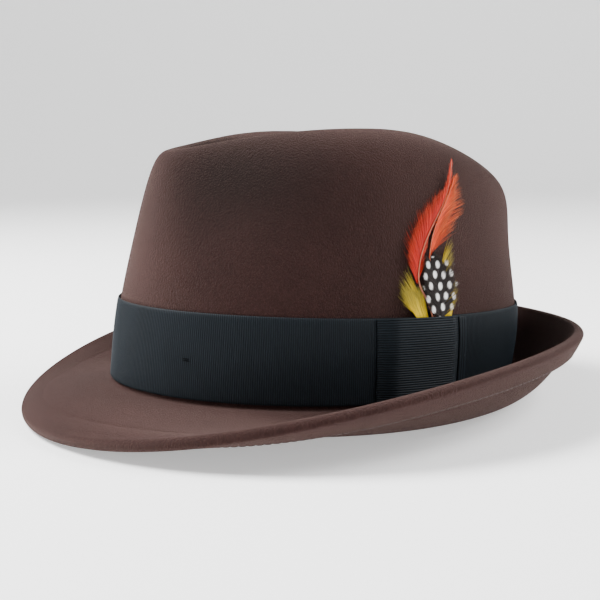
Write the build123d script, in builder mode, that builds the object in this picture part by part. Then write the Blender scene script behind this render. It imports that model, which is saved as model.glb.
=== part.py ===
from build123d import *
from functools import lru_cache
from math import cos, exp, hypot, pi, radians, sin
import os

# Fedora hat in felt with a ribbon band, a flat bow, a feather spray, and a
# lined inside. Millimetres, +Z up, front towards -Y, the wearer's left at +X.
# The hat stands on its brim at z = 0. Angles run round the crown from the
# front (0), over the wearer's left (90 degrees), to the back (180 degrees).

# Head size and crown outline, outside the felt: half width, and reach to the
# front and to the back, at four levels above the brim break.
BASE_HALF_WIDTH = 82.5
BASE_FRONT, BASE_BACK = 107.7, 112.0
LEVELS = {
    20: (81.4, 106.8, 115.0),
    40: (80.2, 105.2, 116.8),
    78: (70.8, 98.2, 108.7),
}
SHOULDER = (63.6, 94.2, 113.0)
RIDGE = (46.8, 85.7, 61.2)
RIDGE_HEIGHT = 135.6
RIDGE_CAMBER = 6.1
RIDGE_DROP_FRONT, FRONT_POWER = 20.8, 1.2
RIDGE_DROP_BACK, BACK_POWER = 16.0, 2.3
CREASE_DEPTH = 24.0
PINCH_DEPTH = 9.0
FRONT_NARROWING = 0.30

# Brim: width, and height of its edge over the break, at front, side and back.
BRIM_WIDTH = (43.3, 48.1, 25.3)
BRIM_RISE = (-13.9, 22.7, 31.6)
BRIM_WAVE = 0.4
BRIM_DIP = (0.2, 7.6, 3.7)
BRIM_CURL = (2.8, 1.4)

# The whole shape leans back a little when the hat stands on a table.
LEAN = radians(3.6)
FRONT_SHIFT = 4.18
STAND_HEIGHT = 9.32

FELT = 2.2
WELT_WIDTH = 11.0
WELT_GAP = 1.0

BAND_LOW, BAND_HIGH = 2.0, 41.5
BAND_GAP, BAND_THICKNESS = 0.55, 0.7
WRAP_START, WRAP_END = radians(83), radians(107)
WRAP_FLAT_START, WRAP_FLAT_END = radians(88.5), radians(103.5)
WRAP_GAP, WRAP_THICKNESS = 4.5, 0.8

SWEATBAND_HIGH = 36.0
LINING_LOW, LINING_HIGH = 28.0, 90.0

COLUMNS = 24
ANGLES = [pi * i / COLUMNS for i in range(COLUMNS + 1)]


# --- the felt shape ---------------------------------------------------------


def around(values, angle):
    """Blend of a front, side and back value, smooth round the hat."""
    front, side, back = values
    mean = ((front + back) / 2 + side) / 2
    swing = ((front + back) / 2 - side) / 2
    return mean + (front - back) / 2 * cos(angle) + swing * cos(2 * angle)


def oval(angle, outline, height, narrowing=0.0):
    """Point of a level oval, given its half width and its two reaches."""
    half_width, front, back = outline
    reach = front if cos(angle) > 0 else back
    width = half_width * (1 - narrowing * max(cos(angle), 0) ** 1.5)
    return (width * sin(angle), -reach * cos(angle), height)


def pinched(point, angle, depth):
    """The two finger dents at the front of the crown push the wall inwards."""
    away = abs(angle) - 0.8
    side = 1 if sin(angle) >= 0 else -1
    push = depth * exp(-((away / 0.42) ** 2))
    return (point[0] - side * min(push, abs(point[0])), point[1], point[2])


@lru_cache(maxsize=None)
def section(angle):
    """Control points of the felt's outer line, from brim edge to crease."""
    base = oval(angle, (BASE_HALF_WIDTH, BASE_FRONT, BASE_BACK), 0)
    reach = BASE_FRONT if cos(angle) > 0 else BASE_BACK
    out_x, out_y = sin(angle) / BASE_HALF_WIDTH, -cos(angle) / reach
    length = hypot(out_x, out_y)
    out_x, out_y = out_x / length, out_y / length
    front = (1 + cos(angle)) / 2
    back = 1 - front
    curl = BRIM_CURL[0] + (BRIM_CURL[1] - BRIM_CURL[0]) * back
    width, rise = around(BRIM_WIDTH, angle), around(BRIM_RISE, angle)
    rise += BRIM_WAVE * (cos(3 * angle) - cos(angle))
    dip = around(BRIM_DIP, angle)
    points = []
    for share in (1.0, 0.9, 0.75, 0.55, 0.35, 0.17):
        height = rise * share**curl - dip * 4 * share * (1 - share)
        step = width * share
        points.append((base[0] + out_x * step, base[1] + out_y * step, height))
    for step, height in ((3.0, 0.0), (0.0, 0.0), (-0.3, 5.0)):
        points.append((base[0] + out_x * step, base[1] + out_y * step, height))
    points.append(oval(angle, LEVELS[20], 20))
    points.append(oval(angle, LEVELS[40], 40))
    points.append(pinched(oval(angle, LEVELS[78], 78, 0.05), angle, PINCH_DEPTH / 2))
    ridge = RIDGE_HEIGHT + RIDGE_CAMBER * sin(angle) ** 2
    ridge -= RIDGE_DROP_FRONT * front**FRONT_POWER + RIDGE_DROP_BACK * back**BACK_POWER
    half, reach, tail = RIDGE
    floor = ridge - CREASE_DEPTH
    narrow = FRONT_NARROWING
    shoulder = oval(angle, SHOULDER, ridge - 14, narrow * 0.6)
    points.append(pinched(shoulder, angle, PINCH_DEPTH))
    top = oval(angle, (half + 3, reach + 3, tail + 3), ridge + 1, narrow)
    points.append(pinched(top, angle, PINCH_DEPTH * 0.8))
    points.append(oval(angle, (half - 12, reach - 10, tail - 10), ridge - 1, narrow))
    slope = (half - 24, reach - 18, tail - 20)
    points.append(oval(angle, slope, ridge - CREASE_DEPTH * 0.75, narrow))
    points.append(oval(angle, (half * 0.2, reach - 25, tail - 28), floor))
    points.append(oval(angle, (0, reach - 27, tail - 30), floor))
    return points


def spline_point(controls, v):
    """Point at v from 0 to 1 on a clamped cubic B-spline."""
    spans = len(controls) - 3
    t = min(max(v, 0.0), 1.0) * spans
    first = min(int(t), spans - 1)
    local = [controls[first + j] for j in range(4)]
    for level in range(1, 4):
        for j in range(3, level - 1, -1):
            low = min(max(first + j - 3, 0), spans)
            high = min(first + j + 1 - level, spans)
            share = (t - low) / (high - low)
            local[j] = tuple(
                a * (1 - share) + b * share for a, b in zip(local[j - 1], local[j])
            )
    return local[3]


def place(point):
    """Lean the shape back and stand it on z = 0."""
    x, y, z = point
    turned_y = y * cos(LEAN) + z * sin(LEAN)
    turned_z = z * cos(LEAN) - y * sin(LEAN)
    return Vector(x, turned_y + FRONT_SHIFT, turned_z + STAND_HEIGHT)


def felt(angle, v):
    return place(spline_point(section(angle), v))


def felt_normal(angle, v):
    """Unit normal out of the felt's outer side."""
    step = 0.002
    near_crease = v > 0.93
    a = min(max(angle, 0.15), pi - 0.15) if near_crease else angle
    along = felt(a + step, min(v, 0.999)) - felt(a - step, min(v, 0.999))
    up = felt(a, min(v + step, 1.0)) - felt(a, v - step if v > step else 0.0)
    normal = along.cross(up).normalized()
    if angle in (ANGLES[0], ANGLES[-1]) or v > 0.999:
        normal = Vector(0, normal.Y, normal.Z).normalized()
    return normal


def felt_offset(angle, v, offset):
    """Point off the felt's outer side, negative offsets going into the felt."""
    return felt(angle, v) + felt_normal(angle, v) * offset


@lru_cache(maxsize=None)
def wall_v(angle, height):
    """Where the crown wall reaches a height over the brim break."""
    high = 0.80
    while spline_point(section(angle), high - 0.01)[2] > height:
        high -= 0.01
    low = high - 0.01
    for _ in range(14):
        middle = (low + high) / 2
        if spline_point(section(angle), middle)[2] > height:
            high = middle
        else:
            low = middle
    return high


def wall(angle, height, offset):
    return felt_offset(angle, wall_v(angle, height), offset)


def brim_v(angle, distance):
    """Where the brim is a distance in from its edge."""
    edge = felt(angle, 0)
    v = 0.0
    while (felt(angle, v) - edge).length < distance:
        v += 0.002
    return v


def wall_plane(angle, height, offset):
    """Local plane on the crown wall: X round the hat, Y up, Z outwards."""
    origin = wall(angle, height, offset)
    side = wall(angle + 0.02, height, offset) - wall(angle - 0.02, height, offset)
    up = wall(angle, height + 6, offset) - wall(angle, height - 6, offset)
    return Plane(origin=origin, x_dir=side, z_dir=side.cross(up))


# --- closed solids from rows of points ---------------------------------------


def ruled(rows):
    """Ruled faces from each row of points to the next, round to the first."""
    edges = [Edge.make_spline(row) for row in rows]
    return [
        Face.make_surface_from_curves(a, b)
        for a, b in zip(edges, edges[1:] + edges[:1])
    ]


def end_faces(rows, column):
    """Close the end of a sheet whose rows run up one side and down the other."""
    half = len(rows) // 2
    rungs = [
        Edge.make_line(rows[k][column], rows[-1 - k][column]) for k in range(half)
    ]
    return [Face.make_surface_from_curves(a, b) for a, b in zip(rungs, rungs[1:])]


def solid_of(faces):
    """One closed solid of faces that share their edges."""
    shells = Face.sew_faces(faces)
    return Solid(Shell(shells[0]))


def ring(rows):
    """A closed ring round the hat from rows that run down its left side."""
    half = ruled(rows)
    return solid_of(half + [face.mirror(Plane.YZ) for face in half])


def strip(rows):
    """A piece of sheet that ends in the middle of the wall."""
    return solid_of(ruled(rows) + end_faces(rows, 0) + end_faces(rows, -1))


def sheet_rows(angles, heights, inner, outer):
    """Rows up the outer side of a wall sheet and down its inner side."""
    rows = [[wall(a, height, outer) for a in angles] for height in heights]
    back = [[wall(a, height, inner) for a in angles] for height in heights]
    return rows + back[::-1]


def ring_tube(height, offset, radius):
    """A round cord that runs right round the inside of the crown."""
    sides = 6
    rows = []
    for i in range(sides):
        out = radius * cos(2 * pi * i / sides)
        up = radius * sin(2 * pi * i / sides)
        rows.append([wall(a, height + up, offset + out) for a in ANGLES])
    return ring(rows)


def domed(outer_grid, inner_grid, edge_rows):
    """A sheet over the whole crown, closed at its rim by the edge rows."""
    outer = Face.make_surface_from_array_of_points(outer_grid, tol=0.02)
    inner = Face.make_surface_from_array_of_points(inner_grid, tol=0.02)
    outer_rim = outer.edges().sort_by_distance(outer_grid[COLUMNS // 2][0])[0]
    inner_rim = inner.edges().sort_by_distance(inner_grid[COLUMNS // 2][0])[0]
    rims = [outer_rim] + [Edge.make_spline(row) for row in edge_rows] + [inner_rim]
    half = [outer, inner]
    half += [Face.make_surface_from_curves(a, b) for a, b in zip(rims, rims[1:])]
    return solid_of(half + [face.mirror(Plane.YZ) for face in half])


# --- felt body with its turned-under welt --------------------------------------

ROWS = 44
UNDER_START = 0.012
WELT = 2 * FELT + WELT_GAP


def edge_row(sideways, depth):
    """A row round the brim's edge, out past it and down through the welt."""
    row = []
    for angle in ANGLES:
        outwards = (felt(angle, 0) - felt(angle, 0.004)).normalized()
        edge = felt(angle, 0) + outwards * sideways
        row.append(edge - felt_normal(angle, 0) * depth)
    return row


def welt_row(distance, depth):
    """A row under the brim, a distance in from the edge."""
    return [felt_offset(a, brim_v(a, distance), -depth) for a in ANGLES]


with BuildPart() as felt_body:
    outer_grid = [[felt(a, i / ROWS) for i in range(ROWS + 1)] for a in ANGLES]
    under = [UNDER_START + (1 - UNDER_START) * i / ROWS for i in range(ROWS + 1)]
    inner_grid = [[felt_offset(a, v, -FELT) for v in under] for a in ANGLES]
    fold = [edge_row(1.2, 0.5), edge_row(1.9, WELT / 2), edge_row(1.2, WELT - 0.5)]
    flap = [welt_row(0, WELT), welt_row(5, WELT), welt_row(WELT_WIDTH, WELT)]
    flap += [welt_row(WELT_WIDTH, WELT - FELT), welt_row(5, WELT - FELT)]
    flap += [welt_row(2.2, WELT - FELT)]
    add(domed(outer_grid, inner_grid, fold + flap))
felt_body.part.label = "felt_body"
export_step(felt_body.part, "parts/felt_body.step")

# --- ribbon band, flat bow and tacks -------------------------------------------

BAND_OUT = BAND_GAP + BAND_THICKNESS
BAND_LEVELS = [BAND_LOW + (BAND_HIGH - BAND_LOW) * k / 5 for k in range(6)]

with BuildPart() as hatband_ribbon:
    add(ring(sheet_rows(ANGLES, BAND_LEVELS, BAND_GAP, BAND_OUT)))
hatband_ribbon.part.label = "hatband_ribbon"
export_step(hatband_ribbon.part, "parts/hatband_ribbon.step")


def wrap_gap(angle):
    """Gap from the felt to the bow, which stands off where the quills go."""
    if angle < WRAP_FLAT_START:
        share = (angle - WRAP_START) / (WRAP_FLAT_START - WRAP_START)
    elif angle > WRAP_FLAT_END:
        share = (WRAP_END - angle) / (WRAP_END - WRAP_FLAT_END)
    else:
        share = 1.0
    eased = share * share * (3 - 2 * share)
    resting = BAND_OUT + 0.3
    return resting + (WRAP_GAP - resting) * eased


with BuildPart() as bow_wrap:
    span = WRAP_END - WRAP_START
    turns = [WRAP_START + span * i / 28 for i in range(29)]
    levels = [BAND_LOW + 0.3 + (BAND_HIGH - BAND_LOW - 0.6) * k / 3 for k in range(4)]
    front_rows = [
        [wall(a, h, wrap_gap(a) + WRAP_THICKNESS) for a in turns] for h in levels
    ]
    rear_rows = [[wall(a, h, wrap_gap(a)) for a in turns] for h in levels]
    add(strip(front_rows + rear_rows[::-1]))
bow_wrap.part.label = "bow_wrap"
export_step(bow_wrap.part, "parts/bow_wrap.step")

# The band's cut end is turned under and lies beside the bow.
with BuildPart() as band_end:
    start, end = WRAP_END + 0.009, WRAP_END + 0.052
    turns = [start + (end - start) * i / 4 for i in range(5)]
    levels = [BAND_LOW + 0.8 + (BAND_HIGH - BAND_LOW - 1.6) * k / 3 for k in range(4)]
    add(strip(sheet_rows(turns, levels, BAND_OUT + 0.3, BAND_OUT + 0.9)))
band_end.part.label = "band_end"
export_step(band_end.part, "parts/band_end.step")

with BuildPart() as band_tacks:
    for angle in (radians(32.5), radians(148)):
        with Locations(wall_plane(angle, 20, BAND_OUT + 0.4)):
            Box(3.6, 0.5, 0.4, rotation=(0, 0, 40))
            Box(3.6, 0.5, 0.4, rotation=(0, 0, -40))
    mirror(about=Plane.YZ)
band_tacks.part.label = "band_tacks"
export_step(band_tacks.part, "parts/band_tacks.step")

# One run of thread just inside the welt's cut edge.
with BuildPart() as welt_stitching:
    near, far = 8.7, 9.3
    add(ring([welt_row(near, WELT + 0.1), welt_row(far, WELT + 0.1),
              welt_row(far, WELT + 0.4), welt_row(near, WELT + 0.4)]))
welt_stitching.part.label = "welt_stitching"
export_step(welt_stitching.part, "parts/welt_stitching.step")

# --- inside: lining, sweatband and its trim ------------------------------------

LINING_IN = -(FELT + 0.7)
LINING_OUT = -(FELT + 0.35)
TIP_SPACE = 1.0
SWEAT_OUT = -(FELT + 1.1)
SWEAT_IN = SWEAT_OUT - 0.9

with BuildPart() as lining_side:
    levels = [LINING_LOW + (LINING_HIGH - LINING_LOW) * k / 8 for k in range(9)]
    add(ring(sheet_rows(ANGLES, levels, LINING_IN, LINING_OUT)))
lining_side.part.label = "lining_side"
export_step(lining_side.part, "parts/lining_side.step")

with BuildPart() as lining_piping:
    add(ring_tube(LINING_HIGH + 1.5, -(FELT + 1.25), 0.8))
lining_piping.part.label = "lining_piping"
export_step(lining_piping.part, "parts/lining_piping.step")

with BuildPart() as lining_tip:
    tip_grids = []
    for offset in (LINING_OUT - TIP_SPACE, LINING_IN - TIP_SPACE):
        grid = []
        for angle in ANGLES:
            start = wall_v(angle, LINING_HIGH + 3.0)
            line = [start + (1 - start) * i / 36 for i in range(37)]
            grid.append([felt_offset(angle, v, offset) for v in line])
        tip_grids.append(grid)
    add(domed(tip_grids[0], tip_grids[1], []))
lining_tip.part.label = "lining_tip"
export_step(lining_tip.part, "parts/lining_tip.step")

with BuildPart() as sweatband:
    levels = [3.0 + (SWEATBAND_HIGH - 3.0) * k / 6 for k in range(7)]
    add(ring(sheet_rows(ANGLES, levels, SWEAT_IN, SWEAT_OUT)))
sweatband.part.label = "sweatband"
export_step(sweatband.part, "parts/sweatband.step")

with BuildPart() as sweatband_reed:
    add(ring_tube(1.6, SWEAT_OUT - 0.3, 1.0))
sweatband_reed.part.label = "sweatband_reed"
export_step(sweatband_reed.part, "parts/sweatband_reed.step")

with BuildPart() as sweatband_stitching:
    add(ring(sheet_rows(ANGLES, (5.8, 6.2), SWEAT_IN - 0.4, SWEAT_IN - 0.1)))
sweatband_stitching.part.label = "sweatband_stitching"
export_step(sweatband_stitching.part, "parts/sweatband_stitching.step")

BACK = wall_plane(pi, 12.0, SWEAT_IN - 1.3)

with BuildPart() as rear_bow_loops:
    with BuildSketch(BACK):
        with Locations((-5.2, 0), (5.2, 0)):
            Ellipse(4.4, 2.6)
            Ellipse(2.9, 1.3, mode=Mode.SUBTRACT)
    extrude(amount=-1.0)
rear_bow_loops.part.label = "rear_bow_loops"
export_step(rear_bow_loops.part, "parts/rear_bow_loops.step")

with BuildPart() as rear_bow_knot:
    with BuildSketch(BACK):
        RectangleRounded(1.4, 3.2, 0.5)
    extrude(amount=-1.4)
rear_bow_knot.part.label = "rear_bow_knot"
export_step(rear_bow_knot.part, "parts/rear_bow_knot.step")

with BuildPart() as size_tag:
    with BuildSketch(wall_plane(radians(160), 24.0, SWEAT_IN - 1.1)):
        RectangleRounded(15, 9, 0.8)
    extrude(amount=-0.3)
size_tag.part.label = "size_tag"
export_step(size_tag.part, "parts/size_tag.step")

# --- feather spray, tucked between the band and the bow --------------------------

SPRAY_ANGLE = radians(100)
SPRAY_OFFSET = 2.7
SPRAY_LEAN = 0.18
base = wall(SPRAY_ANGLE, 42, SPRAY_OFFSET)
round_hat = wall(SPRAY_ANGLE + 0.02, 42, SPRAY_OFFSET) - base
round_hat = Vector(round_hat.X, round_hat.Y, 0).normalized()
level_out = round_hat.cross(Vector(0, 0, 1))
upright = Vector(0, 0, 1) - level_out * SPRAY_LEAN
SPRAY = Plane(origin=base, x_dir=round_hat, z_dir=round_hat.cross(upright))


def vane(outline, depth, thickness=0.4):
    """A flat feather vane in the spray's plane, a depth in front of it."""
    with BuildPart() as piece:
        with BuildSketch(SPRAY.offset(depth)):
            with BuildLine():
                for curve in outline:
                    Spline(*curve)
            make_face()
        extrude(amount=thickness)
    return piece


TIP = (21.9, 72.3)
feather_red = vane(
    [
        [(-8.9, 16.0), (-13.8, 25.5), (-4.2, 42.9), (5.5, 52.8), (14.3, 65.0), TIP],
        [TIP, (17.5, 61.0), (9.5, 47.5), (1.5, 37.0), (-3.0, 27.0), (-8.9, 16.0)],
    ],
    -0.75,
)
feather_orange = vane(
    [
        [(-0.4, 26.2), (4.2, 39.2), (14.0, 51.7), (18.5, 58.5), (23.4, 64.6)],
        [(23.4, 64.6), (23.8, 53.0), (21.5, 41.5), (10.5, 31.5), (-0.4, 26.2)],
    ],
    -0.25,
)
feather_guinea = vane(
    [
        [(0.5, -3.0), (-7.6, 6.0), (-8.4, 16.0), (-5.0, 26.5)],
        [(-5.0, 26.5), (0.0, 29.0), (6.5, 26.0)],
        [(6.5, 26.0), (13.0, 15.0), (9.5, 2.5), (0.5, -3.0)],
    ],
    0.7,
)
feather_yellow_front = vane(
    [
        [(-8.5, -2.0), (-14.0, 4.0), (-18.5, 14.5), (-15.2, 24.0)],
        [(-15.2, 24.0), (-9.5, 17.0), (-6.0, 8.0), (-8.5, -2.0)],
    ],
    -1.2,
)
feather_yellow_rear = vane(
    [
        [(5.5, -2.5), (4.5, 12.0), (7.0, 25.0)],
        [(7.0, 25.0), (13.5, 27.0), (16.0, 17.0), (12.0, 3.0), (5.5, -2.5)],
    ],
    -1.2,
)
VANES = {
    "feather_red": feather_red,
    "feather_orange": feather_orange,
    "feather_guinea": feather_guinea,
    "feather_yellow_front": feather_yellow_front,
    "feather_yellow_rear": feather_yellow_rear,
}
for name, vane_piece in VANES.items():
    vane_piece.part.label = name
    export_step(vane_piece.part, f"parts/{name}.step")

QUILL_RADIUS = 0.5
QUILL_FOOT = -17.0
QUILL_DEPTH = -0.25


def quill(foot_x, bend, top):
    """A bare quill from its cut foot in the pocket up to its vane."""
    centre = SPRAY.offset(QUILL_DEPTH)
    with BuildPart() as piece:
        with BuildLine(centre) as path:
            ThreePointArc((foot_x, QUILL_FOOT), bend, top)
        start = path.line @ 0
        with BuildSketch(Plane(origin=start, z_dir=path.line % 0)):
            Circle(QUILL_RADIUS)
        sweep()
    return piece


QUILLS = {
    "quill_red": quill(-2.4, (-5.2, -1.0), (-9.0, 15.5)),
    "quill_orange": quill(-1.2, (-1.0, 2.0), (-0.5, 25.7)),
    "quill_guinea": quill(0.0, (0.2, -10.0), (0.5, -3.4)),
}
for name, quill_piece in QUILLS.items():
    quill_piece.part.label = name
    export_step(quill_piece.part, f"parts/{name}.step")

with BuildPart() as quill_binding:
    with BuildSketch(Plane(origin=SPRAY.from_local_coords((-1.4, -15, QUILL_DEPTH)),
                           x_dir=SPRAY.x_dir, z_dir=SPRAY.y_dir)):
        RectangleRounded(7.6, 2.0, 0.9)
        RectangleRounded(7.2, 1.6, 0.7, mode=Mode.SUBTRACT)
    extrude(amount=5)
quill_binding.part.label = "quill_binding"
export_step(quill_binding.part, "parts/quill_binding.step")

with BuildPart() as feather_backing:
    with BuildSketch(SPRAY.offset(-1.25)):
        with Locations((-1.4, -3.2)):
            RectangleRounded(6.6, 12.4, 2.0)
    extrude(amount=0.4)
feather_backing.part.label = "feather_backing"
export_step(feather_backing.part, "parts/feather_backing.step")
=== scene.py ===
# %% [markdown]
# # A felt fedora with a ribbon band and a feather spray
# The hat is one piece of wool felt, blocked over a wooden form while it was
# steamed. Everything else is sewn to it or tucked into it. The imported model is
# loaded first, because each piece below has to sit on it.

import bmesh
import bpy
import numpy as np
from mathutils import Matrix, Vector


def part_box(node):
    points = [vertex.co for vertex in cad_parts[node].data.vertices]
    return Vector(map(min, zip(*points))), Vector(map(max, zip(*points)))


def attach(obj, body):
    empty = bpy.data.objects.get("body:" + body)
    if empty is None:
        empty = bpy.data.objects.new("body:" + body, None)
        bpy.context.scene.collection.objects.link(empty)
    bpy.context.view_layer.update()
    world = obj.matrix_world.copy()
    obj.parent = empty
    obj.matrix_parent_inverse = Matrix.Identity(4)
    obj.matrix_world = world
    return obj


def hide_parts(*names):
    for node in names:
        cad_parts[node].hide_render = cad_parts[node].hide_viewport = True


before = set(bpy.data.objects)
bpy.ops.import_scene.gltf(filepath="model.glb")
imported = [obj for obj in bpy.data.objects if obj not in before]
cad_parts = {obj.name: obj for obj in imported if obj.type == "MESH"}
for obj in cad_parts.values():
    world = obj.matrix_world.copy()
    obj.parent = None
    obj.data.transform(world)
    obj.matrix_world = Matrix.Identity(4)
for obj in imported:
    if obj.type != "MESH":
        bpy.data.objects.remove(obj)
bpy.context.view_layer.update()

# %% [markdown]
# ## The blocked shape
# The felt could be sculpted, but a ribbon, a lining and a sweatband must follow
# it to a tenth of a millimetre. So the shape is a formula of two numbers: the
# angle round the head, and v, which runs from the brim's edge (0) up to the
# crease on top (1). The same formula then places every other piece.

# %% Driving sizes of the block, in metres
BASE_HALF_WIDTH = 0.0825
BASE_FRONT, BASE_BACK = 0.1077, 0.1120
LEVELS = {
    0.020: (0.0814, 0.1068, 0.1150),
    0.040: (0.0802, 0.1052, 0.1168),
    0.078: (0.0708, 0.0982, 0.1087),
}
SHOULDER = (0.0636, 0.0942, 0.1130)
RIDGE = (0.0468, 0.0857, 0.0612)
RIDGE_HEIGHT = 0.1356
RIDGE_CAMBER = 0.0061
RIDGE_DROP_FRONT, FRONT_POWER = 0.0208, 1.2
RIDGE_DROP_BACK, BACK_POWER = 0.0160, 2.3
CREASE_DEPTH = 0.024
PINCH_DEPTH = 0.009
FRONT_NARROWING = 0.30
BRIM_WIDTH = (0.0433, 0.0481, 0.0253)
BRIM_RISE = (-0.0139, 0.0227, 0.0316)
BRIM_WAVE = 0.0004
BRIM_DIP = (0.0002, 0.0076, 0.0037)
BRIM_CURL = (2.8, 1.4)
FELT = 0.0022
WELT_GAP = 0.0010
WELT = 2 * FELT + WELT_GAP
LEAN = np.radians(3.6)
FELT_LOW, FELT_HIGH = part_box("felt_body")
STAND = (0.0, 0.00418, 0.00932)
print("felt box", list(FELT_LOW), list(FELT_HIGH))


# %% Control rings from the brim's edge to the crease
def around(values, angle):
    """Front, side and back value blended with cosines of one and two turns."""
    front, side, back = values
    mean = ((front + back) / 2 + side) / 2
    swing = ((front + back) / 2 - side) / 2
    return mean + (front - back) / 2 * np.cos(angle) + swing * np.cos(2 * angle)


def oval(angle, outline, height, narrowing=0.0):
    """Half an ellipse to the front and half to the back, at a height."""
    half_width, front, back = outline
    c = np.cos(angle)
    width = half_width * (1 - narrowing * np.clip(c, 0, 1) ** 1.5)
    reach = np.where(c > 0, front, back)
    return np.stack([width * np.sin(angle), -reach * c, height + 0 * angle], -1)


def pinched(ring, angle, depth):
    """Pushes a ring inwards by a bell curve at each finger dent."""
    bell = np.exp(-(((np.abs(angle) - 0.8) / 0.42) ** 2))
    push = np.minimum(depth * bell, np.abs(ring[..., 0]))
    ring[..., 0] -= np.sign(np.sin(angle)) * push
    return ring


def control_rings(angle):
    """All control points for an array of angles: shape angles x 18 x 3."""
    base = oval(angle, (BASE_HALF_WIDTH, BASE_FRONT, BASE_BACK), 0.0)
    base_reach = np.where(np.cos(angle) > 0, BASE_FRONT, BASE_BACK)
    out = np.stack([np.sin(angle) / BASE_HALF_WIDTH, -np.cos(angle) / base_reach], -1)
    out /= np.linalg.norm(out, axis=-1, keepdims=True)
    front = (1 + np.cos(angle)) / 2
    back = 1 - front
    curl = BRIM_CURL[0] + (BRIM_CURL[1] - BRIM_CURL[0]) * back
    rise = around(BRIM_RISE, angle) + BRIM_WAVE * (np.cos(3 * angle) - np.cos(angle))
    width, dip = around(BRIM_WIDTH, angle), around(BRIM_DIP, angle)

    def stepped(step, height):
        ring = base.copy()
        ring[..., :2] += out * np.broadcast_to(step, angle.shape)[..., None]
        ring[..., 2] = height
        return ring

    rings = []
    for share in (1.0, 0.9, 0.75, 0.55, 0.35, 0.17):
        height = rise * share**curl - dip * 4 * share * (1 - share)
        rings.append(stepped(width * share, height))
    rings += [stepped(0.003, 0.0), stepped(0.0, 0.0), stepped(-0.0003, 0.005)]
    rings += [oval(angle, LEVELS[0.020], 0.020), oval(angle, LEVELS[0.040], 0.040)]
    chest = oval(angle, LEVELS[0.078], 0.078, 0.05)
    rings.append(pinched(chest, angle, PINCH_DEPTH / 2))
    ridge = RIDGE_HEIGHT + RIDGE_CAMBER * np.sin(angle) ** 2
    ridge -= RIDGE_DROP_FRONT * front**FRONT_POWER + RIDGE_DROP_BACK * back**BACK_POWER
    half, reach, tail = RIDGE
    narrow, floor = FRONT_NARROWING, ridge - CREASE_DEPTH
    shoulder = oval(angle, SHOULDER, ridge - 0.014, narrow * 0.6)
    rings.append(pinched(shoulder, angle, PINCH_DEPTH))
    top = oval(angle, (half + 0.003, reach + 0.003, tail + 0.003), ridge + 0.001, narrow)
    rings.append(pinched(top, angle, PINCH_DEPTH * 0.8))
    inner = (half - 0.012, reach - 0.010, tail - 0.010)
    rings.append(oval(angle, inner, ridge - 0.001, narrow))
    slope = (half - 0.024, reach - 0.018, tail - 0.020)
    rings.append(oval(angle, slope, ridge - CREASE_DEPTH * 0.75, narrow))
    rings.append(oval(angle, (half * 0.2, reach - 0.025, tail - 0.028), floor))
    rings.append(oval(angle, (0.0, reach - 0.027, tail - 0.030), floor))
    return np.stack(rings, -2)


# %% [markdown]
# A B-spline turns the eighteen control rings into one smooth surface. Its
# weights come from the Cox and de Boor rule: start with a box for each knot
# span, then blend neighbouring boxes three times.


# %% The surface and its normal
def weights(v, count):
    """Cubic B-spline weights with clamped ends, for an array of v."""
    knots = np.clip(np.arange(count + 4) - 3.0, 0, count - 3)
    t = np.clip(v, 0, 1 - 1e-9)[..., None] * (count - 3)
    w = ((t >= knots[:-1]) & (t < knots[1:])).astype(float)
    for degree in (1, 2, 3):
        span = knots[degree:] - knots[:-degree]
        span = np.where(span > 0, span, np.inf)
        rising = (t - knots[: -degree - 1]) / span[:-1]
        falling = (knots[degree + 1 :] - t) / span[1:]
        w = rising * w[..., :-1] + falling * w[..., 1:]
    return w


def felt_raw(angle, v):
    """Point of the outer felt before the hat leans back."""
    rings = control_rings(angle)
    return np.einsum("...k,...kc->...c", weights(v, rings.shape[-2]), rings)


def stand(points):
    """Turns points about X by the lean, then lifts them to stand on z = 0."""
    x, y, z = points[..., 0], points[..., 1], points[..., 2]
    c, s = np.cos(LEAN), np.sin(LEAN)
    return np.stack([x, y * c + z * s, z * c - y * s], -1) + np.array(STAND)


def felt(angle, v):
    angle, v = np.broadcast_arrays(np.asarray(angle, float), np.asarray(v, float))
    return stand(felt_raw(angle, v))


def felt_normal(angle, v):
    """Cross product of small steps round the hat and up it."""
    angle, v = np.broadcast_arrays(np.asarray(angle, float), np.asarray(v, float))
    step = 0.002
    size = np.abs(angle)
    kept = np.where(v > 0.93, np.clip(size, 0.15, np.pi - 0.15), size)
    kept = np.where(angle < 0, -kept, kept)
    low, high = np.clip(v - step, 0, 1), np.clip(v + step, 0, 1)
    along = felt(kept + step, np.minimum(v, 0.999)) - felt(kept - step, np.minimum(v, 0.999))
    up = felt(kept, high) - felt(kept, low)
    normal = np.cross(along, up)
    middle = (size < 1e-6) | (np.abs(size - np.pi) < 1e-6) | (v > 0.999)
    normal[..., 0] = np.where(middle, 0.0, normal[..., 0])
    return normal / np.linalg.norm(normal, axis=-1, keepdims=True)


def off_felt(angle, v, offset):
    """A distance out from the felt's outer side; negative goes inwards."""
    offset = np.broadcast_to(offset, np.broadcast(angle, v).shape)
    return felt(angle, v) + felt_normal(angle, v) * offset[..., None]


# %% Finding a height on the crown wall
def wall_v(angle, height):
    """Bisection, for whole arrays, of v where the wall has a height."""
    angle, height = np.broadcast_arrays(np.asarray(angle, float), np.asarray(height, float))
    low, high = np.full(angle.shape, 0.37), np.full(angle.shape, 0.80)
    for _ in range(22):
        middle = (low + high) / 2
        under = felt_raw(angle, middle)[..., 2] < height
        low, high = np.where(under, middle, low), np.where(under, high, middle)
    return (low + high) / 2


def wall(angle, height, offset):
    return off_felt(angle, wall_v(angle, height), offset)


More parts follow.
